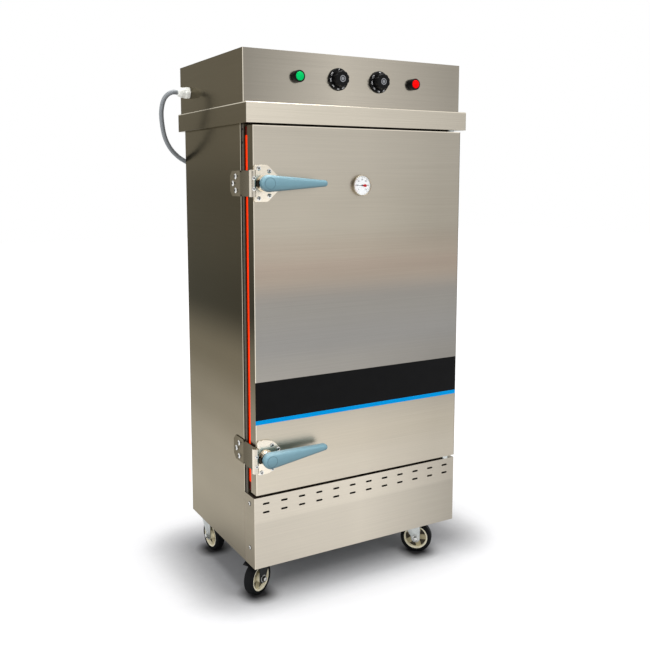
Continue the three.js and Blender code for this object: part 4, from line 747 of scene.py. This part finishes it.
def cord_set():
    """The cord from the gland's mouth to the plug, the plug with its ribbed grip, and four pins.
    The grip's ribs dip by 0.7 (0.5 + 0.5 cos 18a)."""
    coil, away = coil_line()
    free = smooth_run(np.vstack([GLAND_MOUTH, CORD_ROUTE, coil[0] - [6.0, 0, 0]]), 6)
    line = to_frame(np.vstack([free, coil]))
    tube = tube_along(line, CORD_RADIUS * MM, 20)
    nodes = ("power_cord", "power_cord_coil")
    flex = finish_piece("power_flex", tube, grey_sheath, "cabinet", nodes, 60)
    start = line[-1] + away * 0.3 * MM
    shape = rounded([(0, 0), (10, 0), (14, 22), (24, 26), (24, 82), (27, 82), (27, 112), (23, 112),
                     (23, 83), (0, 83)], 2.0)
    grip = lambda a, r, h: r - 0.7 * ((h > 30) & (h < 78)) * (0.5 + 0.5 * np.cos(18 * a))
    body = revolved(shape, start, away, 90, grip)
    plug = finish_piece("plug_body", body, black_plastic, "cabinet", "power_plug", 40)
    pin_shape = rounded([(0, 80), (3, 80), (3, 106), (0, 106)], 0.8)
    for i in range(4):
        foot = start + turned(axes_for(away), math.radians(45 + 90 * i))[0] * 12 * MM
        pin = revolved(pin_shape, foot, away, 24)
        finish_piece(f"plug_pin_{i}", pin, screw_steel, "cabinet")


cord_set()


# ---------------------------------------------------------------- sheet metal and plain nodes
def dress_sheets():
    """Bent sheets with rounded edges, and the door's seal."""
    softened("outer_wrap", "body_wrap", side_steel, "cabinet", 0.6)
    softened("lower_front_panel", "lower_panel", panel_steel, "cabinet", 0.5, 1)
    softened("cap_band", "cap_band_sheet", band_steel, "cabinet", 0.6)
    softened("control_box", "control_shell", box_steel, "cabinet", 0.6)
    softened("door_skin", "door_sheet", door_steel, "door", 0.55)
    softened("door_inner_pan", "door_back_sheet", inner_steel, "door", 0.5)
    softened("door_frame", "jamb", frame_steel, "cabinet", 1.5)
    softened("door_gasket", "door_seal", seal_rubber, "door", 1.5, 3, 30.0)
    softened("base_tray", "base_pan", zinc_steel, "cabinet", 0.6)


PLAIN_NODES = {
    "inner_liner": inner_steel, "insulation": foam, "water_tank": inner_steel,
    "heating_element": dark_steel, "steam_deck": inner_steel, "tray_rack_left": inner_steel,
    "tray_rack_right": inner_steel, "drain_pipe": inner_steel, "timer_unit": black_plastic,
    "thermostat_unit": zinc_steel, "hinge_pin_upper": zinc_steel, "hinge_pin_lower": zinc_steel,
    "door_core": foam,
}


def paint_nodes():
    """Finishes for the nodes that stay as they are."""
    for node, material in PLAIN_NODES.items():
        mesh = NODES[node].data
        mesh.materials.clear()
        mesh.materials.append(material)


dress_sheets()
paint_nodes()


# ---------------------------------------------------------------- screws
def pan_screw(name, place, direction, body, radius, height, turn):
    """A head whose height at the share q of its radius is height(1 - 0.55 q^2.4), with two dark
    bars across it that stand for its recess as painted shade."""
    q = np.linspace(0.0, 1.0, 9)
    dome = list(zip(radius * q, height * (1 - 0.55 * q ** 2.4)))
    mesh = revolved(dome + [(radius, 0.0), (0, -1.0)], place, direction, 32)
    finish_piece(name, mesh, screw_steel, body, smooth=50)
    # The recess is two dark bars of painted shade.
    half, thin = 0.55 * radius, 0.16 * radius
    outline = [(-half, -thin), (half, -thin), (half, thin), (-half, thin)]
    for k in range(2):
        axes = turned(axes_for(direction), turn + k * math.pi / 2)
        bar = prism(outline, height * 0.8, height + 0.05, axes, place)
        finish_piece(f"{name}_slot_{k}", bar, slot_dark, body)


# ---------------------------------------------------------------- latches
LATCH_SCREWS = {
    "upper": ((18, 33), (18, -33), (-13, 40), (-13, -40)),
    "lower": ((20, 32), (38, 18), (20, -36), (-13, -42)),
}


def latch_plate_outline(lower):
    """The upper plate slopes to its nose. The lower one has a straight left side and a fan on its
    right, half an ellipse."""
    if lower:
        foot = [(-26.0, -44.0), (-21.0, -49.0), (-2.0, -49.0)]
        a = np.radians(np.linspace(-88.0, 88.0, 25))
        fan = [(-2.0 + 48.0 * math.cos(q), 49.0 * math.sin(q)) for q in a]
        return foot + fan + [(x, -z) for x, z in reversed(foot)]
    corners = [(-26, -49), (14, -49), (46, -18), (46, 18), (14, 49), (-26, 49)]
    return rounded(corners + corners[:2], 6.0, 5)[1:-1]


def latch_set(name, z, tilt):
    """A plate with a turned boss and four screws on the door, its lever and its cam."""
    base = at(LATCH_X, DOOR_FACE - 0.3, z)
    plate = prism(latch_plate_outline(name == "lower"), 0.0, 4.0, FRONT_AXES, base, 1.0)
    finish_piece(f"latch_plate_{name}", plate, latch_steel, "door", f"latch_base_{name}")
    boss = rounded([(0, 2), (22, 3.5), (21, 8), (18, 16.8), (8, 16.8), (8, 9)], 2.0) + [(0, 9)]
    finish_piece(f"latch_boss_{name}", revolved(boss, base, OUTWARD), latch_steel, "door")
    for i, (dx, dz) in enumerate(LATCH_SCREWS[name]):
        place = at(LATCH_X + dx, DOOR_FACE - 4.3, z + dz)
        pan_screw(f"latch_screw_{name}_{i}", place, OUTWARD, "door", 6.2, 2.6, 0.3 + i)
    axes = turned(FRONT_AXES, math.radians(tilt))
    lever(name, z, axes, lever_coat(name, z, tilt))
    cam(name, z, axes)


def lever(name, z, axes, coat):
    """The handle's outline is two arcs and their common tangents, its edges are well rounded, and a
    thin dark ring round the cap is painted shade that stands for a groove."""
    spread = math.degrees(math.acos((LEVER_ROOT - LEVER_TIP) / LEVER_REACH))
    outline = arc((0, 0), LEVER_ROOT, spread, 360 - spread, 40)
    outline += arc((LEVER_REACH, 0), LEVER_TIP, -spread, spread, 18)
    centre = at(LATCH_X, LEVER_BACK_Y, z)
    handle = prism(outline, 0.0, 25.0, axes, centre, 8.4, 10)
    body = f"latch_{name}"
    finish_piece(f"lever_{name}", handle, coat, body, f"latch_lever_{name}", 50)
    # A thin dark ring: painted shade of a groove round the cap.
    ring = [(14.4, 24.7), (14.4, 25.15), (15.4, 25.15), (15.4, 24.7), (14.4, 24.7)]
    groove = revolved(ring, centre, OUTWARD)
    finish_piece(f"lever_ring_{name}", groove, lever_groove, body, smooth=60)


def cam(name, z, axes):
    """A round plate whose tongue ends in an arc about the spindle, and the spindle."""
    centre = at(LATCH_X, CAM_BACK_Y, z)
    half = math.degrees(math.asin(CAM_HALF / CAM_REACH))
    tip = arc((0, 0), CAM_REACH, 180 - half, 180 + half, 9)
    plate = prism(tip + arc((0, 0), 15.0, 213, 507, 30), 0.0, 5.0, axes, centre, 0.6, 2)
    body = f"latch_{name}"
    finish_piece(f"cam_{name}", plate, dark_steel, body, f"latch_cam_{name}")
    spindle = revolved([(0, -7.5), (7, -7.5), (7, 13), (0, 13)], centre, OUTWARD, 48)
    finish_piece(f"spindle_{name}", spindle, zinc_steel, body)


def keeper_set(name, z):
    """The keeper, three screws in its side plate and two in its front."""
    softened(f"latch_keeper_{name}", f"keeper_{name}", keeper_steel, "cabinet", 0.7, 2, 40.0, 40.0)
    for i, (y, dz) in enumerate(((88, 19), (106, 0), (88, -19))):
        place = at(-353.3, y, z + dz)
        pan_screw(f"keeper_side_screw_{name}_{i}", place, LEFTWARD, "cabinet", 7.6, 4.8, 0.5 + i)
    for i, dz in enumerate((14, -14)):
        place = at(-356.0, -33.7, z + dz)
        pan_screw(f"keeper_front_screw_{name}_{i}", place, OUTWARD, "cabinet", 5.2, 1.4, 0.7 + i)


latch_set("upper", UPPER_LATCH_Z, 0.0)
latch_set("lower", LOWER_LATCH_Z, LOWER_LEVER_TILT)
keeper_set("upper", UPPER_LATCH_Z)
keeper_set("lower", LOWER_LATCH_Z)


# ---------------------------------------------------------------- generic numbers
def number(text, height, place, axes, material, body, name, thickness):
    """A number as a mesh, its middle at the place, standing out by its thickness."""
    data = bpy.data.curves.new(name, "FONT")
    data.body = text
    data.size = height
    data.align_x, data.align_y = "CENTER", "CENTER"
    data.extrude = thickness
    data.resolution_u = 3
    maker = bpy.data.objects.new(name + "_maker", data)
    SCENE.collection.objects.link(maker)
    graph = bpy.context.evaluated_depsgraph_get()
    mesh = bpy.data.meshes.new_from_object(maker.evaluated_get(graph))
    bpy.data.objects.remove(maker)
    carry = np.eye(4)
    carry[:3, :3] = np.stack(axes, -1) * MM
    carry[:3, 3] = place
    mesh.transform(Matrix(carry.tolist()))
    finish_piece(name, mesh, material, body)


# ---------------------------------------------------------------- thermometer
DIAL_START, DIAL_STEP, DIAL_MARKS, RED_MARKS = 225, 9, 31, 11
DIAL_NUMBERS = ("0", "20", "40", "60", "80", "100", "120")
NEEDLE_TURN = 177


def dial():
    """A turned case with a stem, its face, marks from the lower left round to the lower right, each
    fifth one longer, and a number at each of those."""
    centre = at(DIAL_X, DOOR_FACE, DIAL_Z)
    case = edged(
        [(0, -48), (4, -48), (4, 0.3)],
        [(0, 0.3), (30, 0.3), (30, 9.4), (28.6, 10.6), (27.2, 9.6), (27.2, 6.0)],
        [(27.2, 6.05), (0, 6.05)], 0.8)
    shell = revolved(case, centre, OUTWARD, 96)
    finish_piece("dial_case", shell, dial_steel, "door", "thermometer_case")
    face = revolved([(0, 6.0), (27.0, 6.0), (27.0, 6.2), (0, 6.2)], centre, OUTWARD, 96)
    finish_piece("dial_face", face, pale_enamel, "door")
    for i in range(DIAL_MARKS):
        inner, half = (20.5, 0.42) if i % 5 == 0 else (22.3, 0.22)
        outline = [(inner, -half), (24.6, -half), (24.6, half), (inner, half)]
        axes = turned(FRONT_AXES, math.radians(DIAL_START - DIAL_STEP * i))
        mark = prism(outline, 6.2, 6.32, axes, centre)
        finish_piece(f"dial_mark_{i:02d}", mark, red_enamel if i < RED_MARKS else ink, "door")
    for i, text in enumerate(DIAL_NUMBERS):
        along, _, out = turned(FRONT_AXES, math.radians(DIAL_START - 5 * DIAL_STEP * i))
        place = centre + (along * 16.6 + out * 6.25) * MM
        number(text, 6.0, place, FRONT_AXES, ink, "door", f"dial_number_{i}", 0.06)


def needle():
    """A tapered pointer, a round red tail and a turned cap."""
    hub = at(DIAL_X, DOOR_FACE - 6.35, DIAL_Z)
    axes = turned(FRONT_AXES, math.radians(NEEDLE_TURN))
    tip = prism([(2, -0.7), (20.5, -0.25), (20.5, 0.25), (2, 0.7)], 0.15, 0.7, axes, hub)
    finish_piece("needle_tip", tip, ink, "needle", "thermometer_needle")
    tail = [(-2.0, 1.6)] + arc((-10.5, 0), 4.0, 75, 285, 20) + [(-2.0, -1.6)]
    finish_piece("needle_tail", prism(tail, 0.1, 0.8, axes, hub), red_enamel, "needle")
    cap = rounded([(0, 0.05), (2.6, 0.05), (2.6, 1.2), (0, 1.6)], 0.5)
    finish_piece("needle_cap", revolved(cap, hub, OUTWARD, 40), ink, "needle")


dial()
needle()


# ---------------------------------------------------------------- control box front
KNOB_NUMBERS, KNOB_SWEEP = 9, 300.0


def lamp(name, x, lens):
    """A turned bezel round a domed lens."""
    centre = at(x, CONTROL_FACE, CONTROL_ROW)
    bezel = edged(
        [(0, -34), (11, -34), (11, 0.3)],
        [(11, 0.3), (16.5, 0.3), (16.5, 15.6), (15.2, 17.0), (12.2, 17.0), (12.2, 13.05)],
        [(12.2, 13.05), (0, 13.05)], 0.9)
    ring = revolved(bezel, centre, OUTWARD)
    finish_piece(f"{name}_bezel", ring, black_plastic, "cabinet", f"{name}_lamp_bezel", 40)
    dome = [(0, 13.3), (11.9, 13.3), (11.9, 16.8)] + arc((9.7, 16.8), 2.2, 0, 90, 10)[1:]
    dome += [(6.4, 19.6), (3.0, 20.0), (0, 20.2)]
    cover = revolved(dome, centre, OUTWARD)
    finish_piece(f"{name}_lens", cover, lens, "cabinet", f"{name}_lamp_lens", 50)


def knob(name, x, low, top):
    """A flat round skirt with numbers from low to top, a grip whose radius r is less a dip of
    1.8 (1 - |sin 5a|) that fades towards its middle, and two turned inserts."""
    centre = at(x, CONTROL_FACE, CONTROL_ROW)
    body = f"{name}_knob"
    skirt = rounded([(0, 1.5), (31, 1.5), (31, 4.6), (28.6, 6.4), (22, 6.9), (0, 6.9)], 0.8)
    plate = revolved(skirt, centre, OUTWARD, 96)
    finish_piece(f"{name}_skirt", plate, black_plastic, body, body, 40)
    shape = edged([(0, 6.5), (22.5, 6.5)],
                  [(22.5, 7.0), (22.5, 24.6), (20.4, 27.0), (10.2, 27.0), (9.4, 26.0)],
                  [(9.4, 26.0), (0, 26.0)], 1.4)
    dip = lambda a, r, h: r - 1.8 * np.clip((r - 12) / 10, 0, 1) * (1 - np.abs(np.sin(5 * a)))
    grip = revolved(shape, centre, OUTWARD, 160, dip)
    finish_piece(f"{name}_grip", grip, black_plastic, body, smooth=40)
    inserts = (
        ("ring", [(6.6, 25.9), (9.2, 25.9), (9.2, 26.9), (8.2, 27.4), (6.6, 27.0), (6.6, 25.9)]),
        ("middle", [(0, 25.9), (4.6, 25.9), (4.6, 26.8), (0, 27.3)]),
    )
    for part, profile in inserts:
        insert = revolved(profile, centre, OUTWARD, 64)
        finish_piece(f"{name}_insert_{part}", insert, knob_insert, body, smooth=50)
    for i in range(KNOB_NUMBERS):
        share = i / (KNOB_NUMBERS - 1)
        axes = turned(FRONT_AXES, math.radians(-KNOB_SWEEP * share))
        place = centre + (axes[1] * 26.0 + axes[2] * 6.55) * MM
        text = str(round(low + (top - low) * share))
        number(text, 7.4, place, axes, white_ink, body, f"{name}_number_{i}", 0.12)


lamp("green", -198.0, green_glow)
lamp("red", 186.0, red_glow)
knob("timer", -69.0, 0, 120)
knob("thermostat", 67.0, 30, 110)


# ---------------------------------------------------------------- gland
def gland():
    """A hexagon outside the box and another inside it, a ribbed dome nut and a thread between them.
    The ribs dip by 0.5 (0.5 + 0.5 cos 24a)."""
    centre = at(GLAND_X, GLAND_Y, GLAND_Z)
    hexagon = arc((0, 0), 18.5, 0, 300, 6)
    outer = prism(hexagon, 0.3, 13.5, LEFT_AXES, centre, 0.8, 2)
    finish_piece("gland_hexagon", outer, white_nylon, "cabinet", "cord_gland")
    shape = edged([(0, 13.0), (15.4, 13.0)],
                  [(15.4, 13.5), (15.4, 25.5), (11.0, 36.0), (9.0, 37.0), (7.2, 37.0)],
                  [(7.2, 37.0), (7.2, 35), (0, 35)], 3.0)
    ribs = lambda a, r, h: r - 0.5 * ((h > 13.4) & (h < 26.0)) * (0.5 + 0.5 * np.cos(24 * a))
    dome = revolved(shape, centre, LEFTWARD, 96, ribs)
    finish_piece("gland_dome", dome, white_nylon, "cabinet", smooth=45)
    nut = prism(hexagon, -7.0, -1.8, LEFT_AXES, centre, 0.6, 2)
    finish_piece("gland_nut", nut, white_nylon, "cabinet")
    thread = revolved([(0, -13.5), (9.9, -13.5), (9.9, 1.0), (0, 1.0)], centre, LEFTWARD, 48)
    finish_piece("gland_thread", thread, white_nylon, "cabinet")


gland()


# ---------------------------------------------------------------- casters
TYRE = edged(
    [(38.3, -14.6)],
    [(40, -14.6), (45.4, -14.6), (50, -10.4), (50, 10.4), (45.4, 14.6), (40, 14.6)],
    [(38.3, 14.6), (38.3, -14.6)], 3.2)
RIM = rounded(
    [(33.2, -12.0), (33.4, -13.9), (37.4, -13.9), (38.2, -12.6), (38.2, 12.6), (37.4, 13.9),
     (33.4, 13.9), (33.2, 12.0), (33.2, -12.0)], 0.8)
WEB = [(0, -3.0), (33.6, -3.0), (33.6, 3.0), (0, 3.0)]
HUB = edged(
    [(5.6, -16.4)],
    [(5.6, -16.4), (11.5, -16.4), (12.4, -14), (12.4, 14), (11.5, 16.4), (5.6, 16.4)],
    [(5.6, 16.4), (5.6, -16.4)], 1.0)
SPOKE = [(8, -7.5), (34, -8.4), (34, 8.4), (8, 7.5)]
SPOKES = 5
AXLE_WASHER = rounded([(0, 21.6), (11.0, 21.6), (11.0, 23.4), (0, 23.4)], 0.5)
AXLE_BOLT = rounded([(0, 27.4), (6.6, 27.4), (6.6, 30.4), (5.0, 31.6), (0, 31.8)], 0.8)


def wheel_axle(corner):
    """A wheel's middle and the direction of its axle, from its joint."""
    joint = next(j for j in frame["joints"] if j["name"] == f"wheel_{corner}_spin")
    return np.array(joint["pos_m"]), np.array(joint["axis"])


def wheel(corner):
    """Tyre, rim, a thin web behind five spokes, and hub. The dark web and the darker spokes are
    painted shade inside the wheel.
    """
    centre, axis = wheel_axle(corner)
    body = f"wheel_{corner}"
    tyre, rim = (revolved(shape, centre, axis, 96) for shape in (TYRE, RIM))
    finish_piece(f"tyre_{corner}", tyre, tyre_rubber, body, f"wheel_tyre_{corner}", 40)
    finish_piece(f"rim_{corner}", rim, cream_plastic, body, f"wheel_hub_{corner}", 40)
    # The web's dark colour is painted shade inside the wheel.
    finish_piece(f"web_{corner}", revolved(WEB, centre, axis, 64), wheel_shade, body)
    for i in range(SPOKES):
        axes = turned(axes_for(axis), 2 * math.pi * (i + 0.5) / SPOKES)
        spoke = prism(SPOKE, -6.5, 6.5, axes, centre, 1.0, 2)
        finish_piece(f"spoke_{corner}_{i}", spoke, shaded_spoke_plastic, body)
    hub = revolved(HUB, centre, axis, 64)
    finish_piece(f"hub_{corner}", hub, cream_plastic, body, smooth=40)


def fork(corner):
    """The fork, a washer and a bolt on each end of its axle, and the plate over it."""
    centre, axis = wheel_axle(corner)
    body = f"swivel_{corner}"
    zinc = shaded_zinc if corner == "front_left" else zinc_steel
    softened(f"caster_fork_{corner}", f"fork_{corner}", zinc, body, 0.6, 2, 35.0, 40.0)
    for side in (-1, 1):
        for part, shape in (("washer", AXLE_WASHER), ("bolt", AXLE_BOLT)):
            name = f"axle_{part}_{corner}_{side + 1}"
            turned_part = revolved(shape, centre, axis * side, 32)
            finish_piece(name, turned_part, screw_steel, body, smooth=40)
    plate = f"top_plate_{corner}"
    softened(f"caster_plate_{corner}", plate, zinc_steel, "cabinet", 0.6, 2, 35.0, 40.0)


for corner in CORNERS:
    wheel(corner)
    fork(corner)
for side in ("left", "right"):
    pedal = f"pedal_{side}"
    softened(f"brake_pedal_front_{side}", pedal, black_plastic, pedal, 1.0, 2, 30.0, 40.0)


# ---------------------------------------------------------------- strips, rivets, panel screws
FILM_HALF = 345.6
FILMS = (("door_band", 546.0, 653.0, black_film), ("door_band_edge", 534.0, 545.9, blue_film))
RIVET = rounded([(0, -1.0), (3.2, -1.0), (3.2, 0.8), (2.2, 1.5), (0, 1.7)], 0.6)
SCREW_SEAT = [(0, 0.05), (6.6, 0.05), (6.6, 0.5), (0, 0.5)]


def door_films():
    """Two thin flat strips across the door."""
    face = at(0, DOOR_FACE, 0)
    for name, low, high, material in FILMS:
        outline = [(-FILM_HALF, low), (FILM_HALF, low), (FILM_HALF, high), (-FILM_HALF, high)]
        finish_piece(name, prism(outline, 0.02, 0.14, FRONT_AXES, face), material, "door")


def body_fasteners():
    """Two rivets on the door frame's left side, and two screws in each side of the body."""
    for i, z in enumerate((1337.0, 1302.0)):
        rivet = revolved(RIVET, at(-348.0, 54.0, z), LEFTWARD, 24)
        finish_piece(f"frame_rivet_{i}", rivet, slot_dark, "cabinet")
    for side, x, direction in (("left", -350.0, LEFTWARD), ("right", 350.0, RIGHTWARD)):
        for i, z in enumerate((170.0, 300.0)):
            place = at(x, 30.0, z)
            seat = revolved(SCREW_SEAT, place, direction, 32)
            finish_piece(f"panel_screw_seat_{side}_{i}", seat, slot_dark, "cabinet")
            pan_screw(f"panel_screw_{side}_{i}", place, direction, "cabinet", 5.4, 2.8, 0.4 + i)


door_films()
body_fasteners()


# ---------------------------------------------------------------- floor and light
FLOOR_HALF, FLOOR_HEIGHT = 14.0, -0.0005
FLOOR_TONES = ((0.40, 0.40, 0.413, 1.0), (0.38, 0.38, 0.393, 1.0))
# Painted shadow: the floor brightens away from the cabinet's footprint, up to a reach in metres.
FOOTPRINT_CENTRE, FOOTPRINT_HALF, GLOW_REACH = (0.03, 0.07, 0.0), (0.36, 0.16, 1.0), 3.0
FLOOR_GLOW = greys(
    (0.0, 0.0), (0.017, 0.07), (0.03, 0.19), (0.043, 0.32), (0.057, 0.5), (0.067, 0.60),
    (0.093, 0.69), (0.2, 0.79), (1.0, 0.92))
# The sky that gloss shows is dimmer about one direction, which keeps the door's steel from glaring.
SCREEN_DIRECTION, SCREEN_SPAN = (-0.49, -0.85, 0.19), (0.80, 0.97, 1.0, 0.35)
SKY_LIGHT = 0.5
# Name, place, aim, size in metres and power in watts of each lamp.
LAMPS = (
    ("key", (1.6, -3.4, 2.8), (0.0, 0.0, 0.8), 1.8, 52.0),
    ("fill", (-3.4, -1.6, 1.8), (0.0, 0.0, 0.7), 2.2, 48.0),
    ("top", (0.0, 0.15, 3.8), (0.0, 0.0, 0.8), 2.4, 80.0),
)


def lay_floor():
    """A pale floor, nearly white, with painted shadow round the cabinet and under its wheels."""
    line = np.linspace(-FLOOR_HALF, FLOOR_HALF, 3)
    grid = np.stack(np.meshgrid(line, line, [FLOOR_HEIGHT], indexing="ij"), -1)
    mesh = mesh_from("floor", grid, grid_faces(3, 3, False, False))
    floor = bpy.data.objects.new("floor", mesh)
    SCENE.collection.objects.link(floor)
    paper = Finish("floor_paper", Roughness=0.9, Specular_IOR_Level=0.0, Emission_Color=WHITE)
    tone = paper.mix(*FLOOR_TONES, paper.span(paper.noise(40.0), 0.3, 0.7))
    # Painted shadow round the cabinet: little glow near its footprint.
    away = paper.outside(FOOTPRINT_CENTRE, FOOTPRINT_HALF)
    glow = paper.ramp(paper.span(away, 0.0, GLOW_REACH), FLOOR_GLOW, "LINEAR")
    # Painted shadow: the glow and colour darken round each wheel where it stands at rest.
    for corner in CORNERS:
        x, y, _ = wheel_axle(corner)[0]
        near = paper.outside((x, y, 0.0), (0.01, 0.01, 1.0))
        glow = paper.times(glow, paper.span(near, 0.015, 0.065))
        tone = paper.times(tone, paper.span(near, 0.01, 0.05, 0.12, 1.0))
    paper.colour(tone)
    paper.glow(paper.calc("MULTIPLY", glow, paper.seen()))
    mesh.materials.append(paper.material)


def light_sky():
    """An even white sky: SKY_LIGHT as light, 1 as seen or through glass, and as gloss 1 with a
    dimmer screen about one direction."""
    world = bpy.data.worlds.new("studio")
    SCENE.world = world
    world.use_nodes = True
    sky = Nodes(world.node_tree)
    back = sky.tree.nodes["Background"]
    back.inputs["Color"].default_value = WHITE
    facing = sky.dot(sky.node("ShaderNodeTexCoord").outputs["Generated"], SCREEN_DIRECTION)
    screen = sky.span(facing, *SCREEN_SPAN)
    path = sky.node("ShaderNodeLightPath")
    level = sky.blend(SKY_LIGHT, screen, path.outputs["Is Glossy Ray"])
    for kind in ("Is Transmission Ray", "Is Camera Ray"):
        level = sky.blend(level, 1.0, path.outputs[kind])
    sky.link(level, back.inputs["Strength"])


def hang_lamps():
    """Three soft square lamps. Gloss shows only the top one."""
    for name, place, aim, size, power in LAMPS:
        data = bpy.data.lights.new(name, "AREA")
        data.size = size
        data.energy = power
        light = bpy.data.objects.new(name, data)
        light.location = place
        light.rotation_euler = (Vector(aim) - Vector(place)).to_track_quat("-Z", "Y").to_euler()
        light.visible_glossy = name == "top"
        SCENE.collection.objects.link(light)


lay_floor()
light_sky()
hang_lamps()
SCENE.view_settings.view_transform = "Standard"
